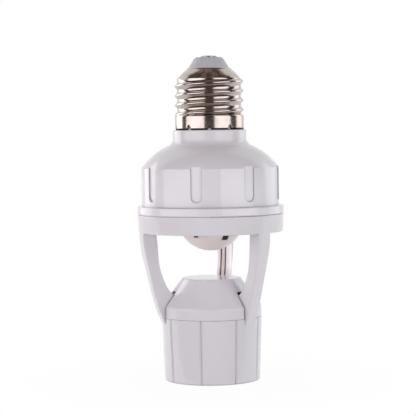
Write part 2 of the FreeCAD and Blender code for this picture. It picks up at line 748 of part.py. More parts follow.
def make_cone_cap():
    """The cone with its flat top and collar, let in round the feet of the arms."""
    outer = cone_line(0)
    ceiling, shoulder, foot = offset([(0, CONE_TOP)] + outer, CONE_WALL)[:3]
    collar = LEDGE_BORE_RADIUS + CORE_NECK_WALL
    collar_top = foot[1] + (foot[0] - collar) / CONE_SLOPE
    cap = turned([
        (0, CONE_TOP),
        (*outer[0], CONE_TOP_ROUNDING),
        (*outer[1], BAND_ROUNDING),
        (*outer[2], BAND_SEAM_ROUNDING),
        (collar, SHELL_HEIGHT),
        (collar, collar_top),
        shoulder,
        ceiling,
    ])
    cap = cap.cut(Part.makeCompound([arm_pocket(azimuth) for azimuth in ARM_AZIMUTHS]))
    centres = [place(azimuth, SOCKET_SCREW_CIRCLE) for azimuth in SOCKET_SCREW_AZIMUTHS]
    bosses = [cylinder(SOCKET_BOSS_RADIUS, CORE_TOP, CONE_TOP - CONE_WALL / 2, centre) for centre in centres]
    cap = joined([cap] + bosses)
    for centre in centres:
        cap = cap.cut(cylinder(SOCKET_SCREW_RADIUS + SCREW_FIT, CORE_TOP,
                               CORE_TOP + SOCKET_SCREW_REACH + HOLE_SPARE, centre))
    passage = radial_block(CONE_TOP_RADIUS, SHELL_RADIUS, CHANNEL_WIDTH, CORE_TOP,
                           CORE_TOP + PASSAGE_HEIGHT, BACK_ARM_AZIMUTH)
    return cap.cut(passage)


def bowl(radius):
    """The part of the dome's sphere that hangs below the ring, for its outside or its inside."""
    ball = Part.makeSphere(radius, Vector(0, 0, DOME_FOOT + DOME_RADIUS))
    return ball.common(cylinder(2 * DOME_RADIUS, DOME_FOOT - DOME_WALL, RING_FOOT))


def lens_wall():
    """The bowl, neck and ledge of the lens before its windows are cut."""
    ledge_top = WEB_TOP + LENS_LEDGE_THICKNESS
    neck = cylinder(LENS_RADIUS, RING_FOOT, WEB_TOP)
    ledge = cylinder(LENS_RADIUS + LENS_LEDGE, WEB_TOP, ledge_top)
    inner = DOME_RADIUS - DOME_WALL
    inner_neck = sqrt(inner**2 - (DOME_RADIUS - DOME_DEPTH) ** 2)
    wall = joined([bowl(DOME_RADIUS), neck, ledge])
    return wall.cut(bowl(inner)).cut(cylinder(inner_neck, RING_FOOT, ledge_top))


def window_cutter(azimuth, width, height):
    """A box through the wall of the dome, just below the ring."""
    return radial_block(LENS_RADIUS / 2, DOME_RADIUS, width, RING_FOOT - height, RING_FOOT, azimuth)


def make_lens_dome():
    """The milky dome: a spherical bowl with a short neck and a ledge that rests on the web."""
    photocell = window_cutter(WINDOW_AZIMUTH, PHOTOCELL_WINDOW_WIDTH, PHOTOCELL_WINDOW_HEIGHT)
    indicator = window_cutter(-WINDOW_AZIMUTH, INDICATOR_WINDOW_WIDTH, INDICATOR_WINDOW_HEIGHT)
    return lens_wall().cut(photocell).cut(indicator)


def window(azimuth, width, height):
    """A dark insert that fills one window of the dome, with a fine gap round it."""
    return lens_wall().common(window_cutter(azimuth, width - 2 * SCREW_FIT, height - SCREW_FIT))


def make_photocell_window():
    """The larger dark window, right of the middle."""
    return window(WINDOW_AZIMUTH, PHOTOCELL_WINDOW_WIDTH, PHOTOCELL_WINDOW_HEIGHT)


def make_indicator_window():
    """The smaller dark window, left of the middle."""
    return window(-WINDOW_AZIMUTH, INDICATOR_WINDOW_WIDTH, INDICATOR_WINDOW_HEIGHT)


def make_circuit_board():
    """The round board, notched for the screw bosses and drilled for its own screws."""
    board = cylinder(BOARD_RADIUS, BOARD_FOOT, BOARD_TOP)
    for azimuth in GAP_AZIMUTHS:
        board = board.cut(cylinder(WEB_BOSS_RADIUS + SLIDE, BOARD_FOOT, BOARD_TOP,
                                   place(azimuth, HOUSING_SCREW_CIRCLE)))
    for azimuth in BOARD_SCREW_AZIMUTHS:
        board = board.cut(cylinder(BOARD_SCREW_RADIUS + FIT, BOARD_FOOT, BOARD_TOP,
                                   place(azimuth, BOARD_SCREW_CIRCLE)))
    return board


def make_board_screws():
    """Three small screws that hold the board on the posts of the web."""
    body = screw(BOARD_HEAD_RADIUS, BOARD_HEAD_HEIGHT, BOARD_SCREW_RADIUS,
                 BOARD_HEAD_HEIGHT + BOARD_THICKNESS + BOARD_SCREW_REACH)
    body.rotate(ORIGIN, Vector(1, 0, 0), 180)
    top = BOARD_TOP + BOARD_HEAD_HEIGHT
    return placed_copies(body, [place(azimuth, BOARD_SCREW_CIRCLE, top) for azimuth in BOARD_SCREW_AZIMUTHS])


def make_relay():
    """The sealed relay that switches the lamp."""
    return block(RELAY_LENGTH, RELAY_WIDTH, RELAY_HEIGHT, Vector(0, RELAY_BACK, 0), BOARD_TOP, rounding=0.6)


def make_dropper_capacitor():
    """The box-shaped film capacitor of the power supply."""
    return block(FILM_LENGTH, FILM_WIDTH, FILM_HEIGHT, Vector(0, -FILM_FRONT, 0), BOARD_TOP, rounding=0.5)


def make_smoothing_capacitor():
    """The electrolytic can, with its rolled groove near the foot."""
    bead = CAN_RADIUS / 10
    can = turned([
        (0, BOARD_TOP),
        (CAN_RADIUS, BOARD_TOP, bead),
        (CAN_RADIUS, BOARD_TOP + 4 * bead),
        (CAN_RADIUS - bead, BOARD_TOP + 5 * bead),
        (CAN_RADIUS, BOARD_TOP + 6 * bead),
        (CAN_RADIUS, BOARD_TOP + CAN_HEIGHT, bead),
        (0, BOARD_TOP + CAN_HEIGHT),
    ])
    can.translate(Vector(CAN_RIGHT, -CAN_FRONT, 0))
    return can


def make_fuse_resistor():
    """The fusible resistor, standing on its lead."""
    body_foot = BOARD_TOP + FUSE_RADIUS / 2
    body = turned([
        (0, BOARD_TOP),
        (LEG_RADIUS, BOARD_TOP),
        (LEG_RADIUS, body_foot),
        (FUSE_RADIUS, body_foot, FUSE_RADIUS / 3),
        (FUSE_RADIUS, BOARD_TOP + FUSE_HEIGHT, FUSE_RADIUS / 3),
        (0, BOARD_TOP + FUSE_HEIGHT),
    ])
    body.translate(Vector(-FUSE_LEFT, -FUSE_FRONT, 0))
    return body


def make_rectifier_diodes():
    """Four small diodes in a row, each lying between two bent legs."""
    axis = BOARD_TOP + DIODE_RADIUS + FIT
    half = DIODE_LENGTH / 2
    leg = 2 * LEG_RADIUS
    body = Part.makeCylinder(DIODE_RADIUS, DIODE_LENGTH, Vector(0, -half, axis), Vector(0, 1, 0))
    wire = Part.makeBox(leg, DIODE_LENGTH + 4 * leg, leg, Vector(-leg / 2, -half - 2 * leg, axis - leg / 2))
    feet = [Part.makeBox(leg, leg, axis - BOARD_TOP, Vector(-leg / 2, side - leg / 2, BOARD_TOP))
            for side in (-half - 1.5 * leg, half + 1.5 * leg)]
    diode = joined([body, wire] + feet)
    middle = (DIODE_COUNT - 1) / 2
    return placed_copies(diode, [Vector((slot - middle) * DIODE_SPACING, -DIODE_FRONT, 0)
                                 for slot in range(DIODE_COUNT)])


def make_control_chip():
    """The flat control chip under the board."""
    side = BACK_ARM_AZIMUTH + CHIP_TURN
    return block(CHIP_LENGTH, CHIP_WIDTH, CHIP_HEIGHT, place(side, BOARD_SCREW_CIRCLE),
                 BOARD_FOOT - CHIP_HEIGHT, side + 90)


def make_pyro_sensor():
    """The infrared sensor: a metal can with a rim, hung under the board on three legs."""
    rim = BOARD_FOOT - SENSOR_LEG
    can = turned([
        (0, rim - SENSOR_HEIGHT),
        (SENSOR_RADIUS, rim - SENSOR_HEIGHT, SENSOR_RIM),
        (SENSOR_RADIUS, rim - SENSOR_RIM),
        (SENSOR_RADIUS + SENSOR_RIM, rim - SENSOR_RIM),
        (SENSOR_RADIUS + SENSOR_RIM, rim),
        (0, rim),
    ])
    pane = block(SENSOR_RADIUS, 0.75 * SENSOR_RADIUS, SENSOR_RIM / 2, ORIGIN, rim - SENSOR_HEIGHT)
    legs = [cylinder(LEG_RADIUS, rim - LEG_RADIUS, BOARD_FOOT, place(azimuth, SENSOR_LEG_CIRCLE))
            for azimuth in (0, 90, 180)]
    return joined([can.cut(pane)] + legs)


def board_cell(azimuth, foot, rounding):
    """A small round component on two legs under the board, behind a window of the dome."""
    body = turned([
        (0, foot),
        (CELL_RADIUS, foot, rounding),
        (CELL_RADIUS, foot + CELL_HEIGHT),
        (0, foot + CELL_HEIGHT),
    ])
    legs = [cylinder(LEG_RADIUS, foot + CELL_HEIGHT - LEG_RADIUS, BOARD_FOOT, Vector(side, 0, 0))
            for side in (-CELL_RADIUS / 2, CELL_RADIUS / 2)]
    cell = joined([body] + legs)
    cell.translate(place(azimuth, LENS_RADIUS - DOME_WALL - CELL_GAP))
    return cell


def make_photocell():
    """The light cell behind the larger window."""
    return board_cell(WINDOW_AZIMUTH, RING_FOOT - PHOTOCELL_WINDOW_HEIGHT + FIT, FIT)


def make_indicator_lamp():
    """The round-nosed indicator behind the smaller window."""
    return board_cell(-WINDOW_AZIMUTH, RING_FOOT - INDICATOR_WINDOW_HEIGHT, CELL_RADIUS * 0.6)


def make_cap_lead_live():
    """Lead from the tip contact down the neck to the board."""
    neck, shoulder, drum = LIVE_LEAD_BENDS
    return lead([
        Vector(0, 0, BUTTON_FOOT),
        Vector(0, 0, BUTTON_FOOT - CAP_LEAD_DROP),
        Vector(*neck, CAP_FOOT),
        Vector(*shoulder, KNEE),
        Vector(*drum, CREASE - 3 * LEAD_SAG),
        Vector(-PAD_LEFT, LIVE_PAD_BACK, RING_TOP + PAD_LEAD_RISE),
        Vector(-PAD_LEFT, LIVE_PAD_BACK, BOARD_TOP),
    ])


def make_cap_lead_neutral():
    """Lead from the inside of the screw shell down the neck to the board."""
    neck, shoulder, drum = NEUTRAL_LEAD_BENDS
    wall = CAP_ROOT_RADIUS - SHEET - LEAD_DIAMETER / 2
    return lead([
        Vector(-wall, 0, CAP_CONE_FOOT - NEUTRAL_JOINT_DROP),
        Vector(-wall, 0, CAP_CONE_FOOT - CAP_LEAD_DROP),
        Vector(*neck, CAP_FOOT + LEAD_SAG),
        Vector(*shoulder, KNEE + LEAD_SAG),
        Vector(*drum, CREASE - 2 * LEAD_SAG),
        Vector(-PAD_LEFT, -NEUTRAL_PAD_FRONT, RING_TOP + PAD_LEAD_RISE),
        Vector(-PAD_LEFT, -NEUTRAL_PAD_FRONT, BOARD_TOP),
    ])


def lamp_lead(layer, end_radius, end_rise):
    """A lead from the board down the channel of the rear arm to a tab in the cone, layer 0 outermost."""
    back = [(point.x, point.z) for point in arm_back_line()[:4]]
    depth = CHANNEL_WALL + SLIDE + LEAD_DIAMETER / 2 + layer * (LEAD_DIAMETER + SLIDE)
    top, high, middle, low = offset(back, depth)
    end = CORE_TOP + end_rise
    pad = top[0] - LEAD_PAD_INSET
    route = [
        (pad, BOARD_FOOT),
        (pad, BOARD_FOOT - LEAD_DIAMETER),
        (top[0], RING_FOOT + LEAD_DIAMETER / 2),
        high,
        middle,
        (low[0], low[1] + end_rise * LEAD_EASE),
        (LEDGE_BORE_RADIUS - LEAD_EASE, end),
        (end_radius + TAB_THICKNESS, end),
    ]
    return lead([place(BACK_ARM_AZIMUTH, radius, height) for radius, height in route])


def make_lamp_lead_live():
    """The inner lead of the channel, to the tab of the centre contact."""
    return lamp_lead(1, LIVE_TAB_RADIUS, LIVE_TAB_RISE - LEAD_DIAMETER / 2 - FIT)


def make_lamp_lead_neutral():
    """The outer lead of the channel, to the tab of the threaded sleeve."""
    return lamp_lead(0, SHELL_TAB_RADIUS, SHELL_TAB_RISE - LEAD_DIAMETER / 2)


def make_socket_core():
    """The insulating insert: a sleeve round the threaded shell, closed by a thick base."""
    neck = LEDGE_BORE_RADIUS - SLIDE
    core = turned([
        (MOUTH_RADIUS, CORE_INSET),
        (CORE_RADIUS, CORE_INSET, RIM_ROUNDING),
        (CORE_RADIUS, LEDGE_FOOT),
        (neck, LEDGE_FOOT),
        (neck, CORE_TOP),
        (0, CORE_TOP),
        (0, BASE_FOOT),
        (SLEEVE_SEAT_RADIUS, BASE_FOOT),
        (SLEEVE_SEAT_RADIUS, SLEEVE_FOOT),
        (MOUTH_RADIUS, SLEEVE_FOOT),
    ])
    recess_top = BASE_FOOT + RECESS_DEPTH
    slot_width = TAB_WIDTH + 2 * FIT
    cutters = [
        cylinder(CONTACT_STEM_RADIUS + SLIDE, BASE_FOOT, CORE_TOP),
        cylinder(RECESS_RADIUS, BASE_FOOT, recess_top),
        radial_block(0, LIVE_TAB_RADIUS, slot_width, BASE_FOOT, recess_top, BACK_ARM_AZIMUTH),
    ]
    for radius in (LIVE_TAB_RADIUS, SHELL_TAB_RADIUS):
        cutters.append(radial_block(radius - FIT, radius + TAB_THICKNESS + FIT, slot_width,
                                    BASE_FOOT, CORE_TOP, BACK_ARM_AZIMUTH))
    for azimuth in SOCKET_SCREW_AZIMUTHS:
        cutters.append(cylinder(SOCKET_SCREW_RADIUS + FIT, BASE_FOOT, CORE_TOP,
                                place(azimuth, SOCKET_SCREW_CIRCLE)))
    for cutter in cutters:
        core = core.cut(cutter)
    return core


def make_socket_shell():
    """The rolled sleeve that takes the bulb, with a plate at its end and a terminal tab."""
    inner = SOCKET_MINOR_RADIUS
    groove_centre = inner + THREAD_DEPTH - THREAD_ROUND
    start = SLEEVE_FOOT - PITCH
    wind = BASE_FOOT - SLEEVE_FOOT + 2 * PITCH
    ridge = helical_rod(groove_centre, THREAD_ROUND + SHEET, start, wind)
    ridge = ridge.common(cylinder(MOUTH_RADIUS, SLEEVE_FOOT, BASE_FOOT))
    hollow = helical_rod(groove_centre, THREAD_ROUND, start, wind)
    hollow = hollow.common(cylinder(MOUTH_RADIUS, SLEEVE_FOOT - PITCH, BASE_FOOT - SHEET))
    sleeve = cylinder(inner + SHEET, SLEEVE_FOOT, BASE_FOOT).fuse(ridge).cut(hollow)
    sleeve = sleeve.cut(cylinder(inner, SLEEVE_FOOT, BASE_FOOT - SHEET))
    sleeve = sleeve.cut(cylinder(PLATE_BORE_RADIUS, BASE_FOOT - SHEET, BASE_FOOT))
    tab = radial_block(SHELL_TAB_RADIUS, SHELL_TAB_RADIUS + TAB_THICKNESS, TAB_WIDTH,
                       BASE_FOOT - SHEET / 2, CORE_TOP + SHELL_TAB_RISE, BACK_ARM_AZIMUTH)
    sleeve = sleeve.fuse(tab)
    for azimuth in SOCKET_SCREW_AZIMUTHS:
        sleeve = sleeve.cut(cylinder(SOCKET_SCREW_RADIUS + FIT, SLEEVE_FOOT, BASE_FOOT,
                                     place(azimuth, SOCKET_SCREW_CIRCLE)))
    return sleeve


def make_socket_screws():
    """Two screws from inside the socket, through the insert into the cone cap."""
    foot = BASE_FOOT - SHEET - SOCKET_HEAD_HEIGHT
    body = screw(SOCKET_HEAD_RADIUS, SOCKET_HEAD_HEIGHT, SOCKET_SCREW_RADIUS,
                 CORE_TOP + SOCKET_SCREW_REACH - foot)
    seats = [place(azimuth, SOCKET_SCREW_CIRCLE, foot) for azimuth in SOCKET_SCREW_AZIMUTHS]
    return placed_copies(body, seats)


def make_centre_contact():
    """The button for the bulb's tip, with the stem that slides in the base."""
    foot = CONTACT_BACK - CONTACT_HEAD
    top = CLIP_FOOT + CLIP_THICKNESS + STEM_END
    return turned([
        (0, foot),
        (CONTACT_RADIUS, foot, CONTACT_ROUNDING),
        (CONTACT_RADIUS, CONTACT_BACK),
        (CONTACT_STEM_RADIUS, CONTACT_BACK),
        (CONTACT_STEM_RADIUS, top, STEM_END / 2),
        (0, top),
    ])


def make_contact_clip():
    """The ring on the stem that stops the contact from falling out."""
    top = CLIP_FOOT + CLIP_THICKNESS
    ring = cylinder(CONTACT_STEM_RADIUS + CLIP_WIDTH, CLIP_FOOT, top)
    return ring.cut(cylinder(CONTACT_STEM_RADIUS, CLIP_FOOT, top))


def make_contact_spring():
    """The small coil spring between the button and the live terminal."""
    mean = (CONTACT_STEM_RADIUS + RECESS_RADIUS) / 2
    height = SPRING_LENGTH - SPRING_WIRE - 2 * SPRING_GAP
    start = CONTACT_BACK + SPRING_WIRE / 2 + SPRING_GAP
    return helical_rod(mean, SPRING_WIRE / 2, start, height, height / SPRING_TURNS)


def make_live_terminal():
    """The washer above the spring, with a tab that stands up through the base."""
    top = SPRING_TOP + TAB_THICKNESS
    outer = LIVE_TAB_RADIUS + TAB_THICKNESS
    washer = cylinder(RECESS_RADIUS - FIT, SPRING_TOP, top)
    strip = radial_block(0, outer, TAB_WIDTH, SPRING_TOP, top, BACK_ARM_AZIMUTH)
    tab_top = CORE_TOP + LIVE_TAB_RISE
    tab = radial_block(LIVE_TAB_RADIUS, outer, TAB_WIDTH, SPRING_TOP, tab_top, BACK_ARM_AZIMUTH)
    return joined([washer, strip, tab]).cut(cylinder(CONTACT_STEM_RADIUS + SLIDE, SPRING_TOP, top))


MAKERS = [
    make_cap_contact,
    make_cap_insulator,
    make_cap_shell,
    make_upper_housing,
    make_housing_screws,
    make_yoke_frame,
    make_cone_cap,
    make_lens_dome,
    make_photocell_window,
    make_indicator_window,
    make_circuit_board,
    make_board_screws,
    make_relay,
    make_dropper_capacitor,
    make_smoothing_capacitor,
    make_fuse_resistor,
    make_rectifier_diodes,
    make_control_chip,
    make_pyro_sensor,
    make_photocell,
    make_indicator_lamp,
    make_cap_lead_live,
    make_cap_lead_neutral,
    make_lamp_lead_live,
    make_lamp_lead_neutral,
    make_socket_core,
    make_socket_shell,
    make_socket_screws,
    make_centre_contact,
    make_contact_clip,
    make_contact_spring,
    make_live_terminal,
]

os.makedirs("parts", exist_ok=True)
for make in MAKERS:
    node = make.__name__.removeprefix("make_")
    shape = make()
    box = shape.BoundBox
    print(f"{node}: {len(shape.Solids)} solids, {shape.Volume:.1f} mm3, valid {shape.isValid()}, "
          f"z {box.ZMin:.2f} to {box.ZMax:.2f}")
    shape.exportStep(f"parts/{node}.step")
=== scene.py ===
# %% [markdown]
# # A lamp holder with a motion sensor
# The solids come from the CAD part, in metres, with the origin in the middle of the lower rim.
# This file dresses them: a camera and a small photo studio first, then one finish for each real
# material. Last come the two pieces that are modelled again: the rolled screw shell, for its fine
# thread, and the contact spring.

from math import atan2, cos, hypot, pi, radians, sin, sqrt, tan, tau

import bmesh
import bpy
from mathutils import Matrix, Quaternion, Vector


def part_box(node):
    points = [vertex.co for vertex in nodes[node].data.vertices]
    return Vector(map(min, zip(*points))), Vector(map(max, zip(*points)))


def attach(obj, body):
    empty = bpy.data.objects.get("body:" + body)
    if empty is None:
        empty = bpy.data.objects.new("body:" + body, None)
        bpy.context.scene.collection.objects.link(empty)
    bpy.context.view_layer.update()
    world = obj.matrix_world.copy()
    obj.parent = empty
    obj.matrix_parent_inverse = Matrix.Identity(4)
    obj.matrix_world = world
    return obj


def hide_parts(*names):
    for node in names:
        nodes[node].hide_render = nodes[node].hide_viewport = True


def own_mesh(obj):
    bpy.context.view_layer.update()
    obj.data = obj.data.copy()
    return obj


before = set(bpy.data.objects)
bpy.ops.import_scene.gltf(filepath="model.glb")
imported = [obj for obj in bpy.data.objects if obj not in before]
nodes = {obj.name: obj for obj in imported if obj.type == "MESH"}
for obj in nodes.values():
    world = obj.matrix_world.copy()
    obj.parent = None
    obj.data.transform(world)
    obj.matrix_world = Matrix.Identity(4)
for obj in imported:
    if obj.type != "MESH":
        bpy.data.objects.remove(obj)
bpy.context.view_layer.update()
MM = 0.001
scene = bpy.context.scene

# %% [markdown]
# ## Camera
# The perspective of the photograph fits a long lens a little over half a metre away, at the height
# of the screw shell, that looks slightly down. The picture is turned by less than a degree, so the
# camera rolls by as much. Everything is worked out from the eye's height and distance.

# %% Camera
PHOTO_SIDE = 416
FOCAL_PIXELS = 1640
SENSOR_WIDTH = 36.0
CLIP_START = 10 * MM
EYE = Vector((-0.97 * MM, -628 * MM, 96 * MM))
AIM = Vector((-0.97 * MM, 0, 65.8 * MM))
ROLL = radians(-0.75)

camera_data = bpy.data.cameras.new("camera")
camera_data.sensor_width = SENSOR_WIDTH
camera_data.lens = FOCAL_PIXELS / PHOTO_SIDE * SENSOR_WIDTH
camera_data.clip_start = CLIP_START
camera = bpy.data.objects.new("camera", camera_data)
scene.collection.objects.link(camera)
scene.camera = camera
camera.location = EYE
camera.rotation_mode = "QUATERNION"
camera.rotation_quaternion = (AIM - EYE).to_track_quat("-Z", "Y") @ Quaternion((0, 0, 1), ROLL)
print("lens in mm:", round(camera_data.lens, 1))

# %% [markdown]
# ## Small steps of a node tree
# Studio cards and finishes are all small trees of nodes. A few steps come back in many of them, so
# each is written once, as a short function.

# %% Helpers for values


def object_place(tree):
    """The object's own coordinates, in metres."""
    return tree.nodes.new("ShaderNodeTexCoord").outputs["Object"]


def axes_of(tree, place):
    """The coordinates of a place, each by its letter."""
    axes = tree.nodes.new("ShaderNodeSeparateXYZ")
    tree.links.new(place, axes.inputs[0])
    return axes.outputs


def calculated(tree, operation, first, second):
    """Two values brought together by an operation such as MULTIPLY or MAXIMUM."""
    result = tree.nodes.new("ShaderNodeMath")
    result.operation = operation
    tree.links.new(first, result.inputs[0])
    tree.links.new(second, result.inputs[1])
    return result.outputs[0]


def noise(tree, place, size, detail=3.0):
    """Cloudy noise whose blotches are about as large as size, in metres."""
    texture = tree.nodes.new("ShaderNodeTexNoise")
    texture.inputs["Scale"].default_value = 1 / size
    texture.inputs["Detail"].default_value = detail
    tree.links.new(place, texture.inputs["Vector"])
    return texture.outputs["Fac"]


# %% [markdown]
# Noise keeps mostly between 0.3 and 0.7, so those are the ends from which a value or a colour is
# spread, unless other ends are given.

# %% Helpers for ranges and colours
NOISE_LOW = 0.3
NOISE_HIGH = 0.7


def spread(tree, value, low, high, start=NOISE_LOW, end=NOISE_HIGH, easing="LINEAR"):
    """A value that runs from low to high while the one it follows goes from start to end."""
    remap = tree.nodes.new("ShaderNodeMapRange")
    remap.interpolation_type = easing
    remap.inputs["From Min"].default_value = start
    remap.inputs["From Max"].default_value = end
    remap.inputs["To Min"].default_value = low
    remap.inputs["To Max"].default_value = high
    tree.links.new(value, remap.inputs["Value"])
    return remap.outputs["Result"]


def tint(tree, value, first, second, start=NOISE_LOW, end=NOISE_HIGH):
    """A colour that moves between two tones while the value goes from start to end."""
    ramp = tree.nodes.new("ShaderNodeValToRGB")
    ramp.color_ramp.elements[0].position = start
    ramp.color_ramp.elements[0].color = (*first, 1)
    ramp.color_ramp.elements[1].position = end
    ramp.color_ramp.elements[1].color = (*second, 1)
    tree.links.new(value, ramp.inputs["Fac"])
    return ramp.outputs["Color"]


def colour_mix(tree, blend="MIX"):
    """A node that blends two colours, or multiplies them, by a share from 0 to 1."""
    mix = tree.nodes.new("ShaderNodeMix")
    mix.data_type = "RGBA"
    mix.blend_type = blend
    return mix


def shade(colour, factor):
    """A colour made lighter or darker."""
    return tuple(min(1.0, channel * factor) for channel in colour)


# %% [markdown]
# ## Studio
# White plastic only looks like plastic when it mirrors something. The upright bands on the round
# walls look like two large soft boxes, left and right of the camera, with a narrow dark gap between
# them, and a strip further round on each side. Area lights make such bands here, and the left side
# is the stronger.

# %% Helpers for soft boxes
OBJECT_MIDDLE = Vector((0, 0, 62 * MM))
BOX_DISTANCE = 0.80
BOX_RAISED = 4
EDGE_SHARE = 0.85


def direction(azimuth, elevation):
    """The way from the object towards an azimuth, 0 being the camera's side and 90 the right."""
    level = cos(radians(elevation))
    across = sin(radians(azimuth)) * level
    towards = -cos(radians(azimuth)) * level
    return Vector((across, towards, sin(radians(elevation))))


def fade_sideways(data):
    """Makes an area light brightest down its middle, as a lamp behind cloth is."""
    data.use_nodes = True
    tree = data.node_tree
    across = axes_of(tree, tree.nodes.new("ShaderNodeNewGeometry").outputs["Parametric"])["X"]
    strength = tree.nodes.new("ShaderNodeFloatCurve")
    curve = strength.mapping.curves[0]
    curve.points[0].location = (0.0, EDGE_SHARE)
    curve.points[1].location = (1.0, EDGE_SHARE)
    curve.points.new(0.5, 1.0)
    strength.mapping.update()
    tree.links.new(across, strength.inputs["Value"])
    tree.links.new(strength.outputs[0], tree.nodes["Emission"].inputs["Strength"])


def soft_box(name, azimuths, height, radiance, colour):
    """An area light between two azimuths that faces the object, as bright as its radiance says."""
    first, last = azimuths
    data = bpy.data.lights.new(name, "AREA")
    fade_sideways(data)
    data.shape = "RECTANGLE"
    data.size = 2 * BOX_DISTANCE * tan(radians(last - first) / 2)
    data.size_y = height
    data.color = colour
    data.energy = radiance * pi * data.size * data.size_y
    box = bpy.data.objects.new(name, data)
    scene.collection.objects.link(box)
    box.location = OBJECT_MIDDLE + direction((first + last) / 2, BOX_RAISED) * BOX_DISTANCE
    box.rotation_mode = "QUATERNION"
    box.rotation_quaternion = (OBJECT_MIDDLE - box.location).to_track_quat("-Z", "Y")
    box.visible_camera = False
    print(name, "power in W:", round(data.energy, 2))


# %% Soft boxes
WARM_LIGHT = (1.0, 0.965, 0.985)
COOL_LIGHT = (0.98, 0.985, 1.0)

soft_box("left_box", azimuths=(-83, -17), height=1.0, radiance=2.15, colour=WARM_LIGHT)
soft_box("left_strip", azimuths=(-140, -104), height=1.0, radiance=1.8, colour=WARM_LIGHT)
soft_box("right_box", azimuths=(17, 74), height=1.35, radiance=2.0, colour=COOL_LIGHT)
soft_box("right_strip", azimuths=(104, 136), height=1.0, radiance=1.0, colour=COOL_LIGHT)

# %% [markdown]
# The room round the camera is dark, and so is its ceiling. Nickel shows it as brown-black between
# the white streaks, and it keeps light off the faces that look up. It starts as a cube, loses its
# floor and its back wall, and its ceiling is drawn out over the object. The camera doesn't see it,
# so it never stands in the way of another view.

# %% Helpers for plain cards


def glowing(name, colour):
    """A finish that shows one tone whatever light falls on it."""
    finish = bpy.data.materials.new(name)
    finish.use_nodes = True
    tree = finish.node_tree
    tree.nodes.remove(tree.nodes["Principled BSDF"])
    light = tree.nodes.new("ShaderNodeEmission")
    light.inputs["Color"].default_value = (*colour, 1)
    light.inputs["Strength"].default_value = 1.0
    tree.links.new(light.outputs[0], tree.nodes["Material Output"].inputs["Surface"])
    return finish


def off_camera(piece, finish, stops_light):
    """Finishes a card or wall that the camera never sees; one that stops no light is only mirrored."""
    piece.visible_camera = False
    piece.visible_diffuse = stops_light
    piece.visible_shadow = stops_light
    piece.data.materials.append(finish)


# %% Dark room
ROOM_WIDTH = 4.4
ROOM_DEPTH = 2.6
ROOM_HEIGHT = 3.4
ROOM_BACK = 0.34
ROOM_SINK = 10 * MM
CEILING_REACH = 1.2
FACING = 0.5

bpy.ops.object.select_all(action="DESELECT")
bpy.ops.mesh.primitive_cube_add(size=1)
room = bpy.context.object
room.name = "dark_room"
room.scale = (ROOM_WIDTH, ROOM_DEPTH, ROOM_HEIGHT)
room.location = (0, ROOM_BACK - ROOM_DEPTH / 2, ROOM_HEIGHT / 2 - ROOM_SINK)
bpy.ops.object.transform_apply(location=True, rotation=True, scale=True)
bpy.ops.object.mode_set(mode="EDIT")
bpy.ops.mesh.select_all(action="DESELECT")
walls = bmesh.from_edit_mesh(room.data)
for face in walls.faces:
    face.select_set(face.normal.y > FACING or face.normal.z < -FACING)
bmesh.update_edit_mesh(room.data)
bpy.ops.mesh.delete(type="ONLY_FACE")
print("room open at the back and below")

# %% Ceiling drawn out over the object
bpy.ops.mesh.select_mode(type="VERT")
bpy.ops.mesh.select_all(action="DESELECT")
walls = bmesh.from_edit_mesh(room.data)
for point in walls.verts:
    point.select_set(point.co.y > 0 and point.co.z > ROOM_HEIGHT / 2)
bmesh.update_edit_mesh(room.data)
bpy.ops.transform.translate(value=(0, CEILING_REACH, 0))
bpy.ops.object.mode_set(mode="OBJECT")
print("room faces:", len(room.data.polygons))

# %% Tones of the room
WALL_TONE = (0.05, 0.037, 0.032)
CEILING_TONE = (0.04, 0.03, 0.026)

off_camera(room, glowing("dark_walls", WALL_TONE), stops_light=True)
ceiling_finish = glowing("dark_ceiling", CEILING_TONE)
room.data.materials.append(ceiling_finish)
for face in room.data.polygons:
    face.material_index = int(face.normal.z > FACING)
print("room finishes:", len(room.data.materials))

# %% [markdown]
# The ceiling isn't even: it has lighter patches, and it pales towards the backdrop. The cone of the
# screw shell mirrors it, so it shows soft patches in place of one flat tone.

# %% Patches on the ceiling
PATCH_TONE = (0.34, 0.26, 0.23)
PATCH_SIZE = 0.3
PATCH_START = 0.45
PATCH_END = 0.58
FADE_START = 0.9
FADE_END = 1.5
BACKDROP_WHITE = (1, 1, 1, 1)

tree = ceiling_finish.node_tree
place = object_place(tree)
patches = noise(tree, place, PATCH_SIZE, detail=1.0)
patch_tone = tint(tree, patches, CEILING_TONE, PATCH_TONE, start=PATCH_START, end=PATCH_END)
depth = axes_of(tree, place)["Y"]
paleness = spread(tree, depth, 0.0, 1.0, start=FADE_START, end=FADE_END, easing="SMOOTHSTEP")
paler = colour_mix(tree)
paler.inputs["B"].default_value = BACKDROP_WHITE
tree.links.new(paleness, paler.inputs["Factor"])
tree.links.new(patch_tone, paler.inputs["A"])
tree.links.new(paler.outputs["Result"], tree.nodes["Emission"].inputs["Color"])
print("ceiling pales from y =", FADE_START, "to", FADE_END, "m")

# %% [markdown]
# A grey card lies in front of the object, outside the picture. Without it the lower flank of every
# thread would mirror white paper, and the nickel would look like chalk.

# %% Grey card
CARD_TONE = (0.09, 0.066, 0.052)
CARD_WIDTH = 1.8
CARD_DEPTH = 1.6
CARD_GAP = 20 * MM
CARD_LIFT = 0.5 * MM

bpy.ops.object.select_all(action="DESELECT")
bpy.ops.mesh.primitive_plane_add(size=1, location=(0, -CARD_DEPTH / 2 - CARD_GAP, CARD_LIFT))
card = bpy.context.object
card.name = "grey_card"
card.scale = (CARD_WIDTH, CARD_DEPTH, 1)
bpy.ops.object.transform_apply(location=True, rotation=True, scale=True)
off_camera(card, glowing("grey_card", CARD_TONE), stops_light=False)
print("card reaches from y =", round(max(corner[1] for corner in card.bound_box), 3), "m")

# %% [markdown]
# Behind the object all is white: the backdrop is a plain white world.

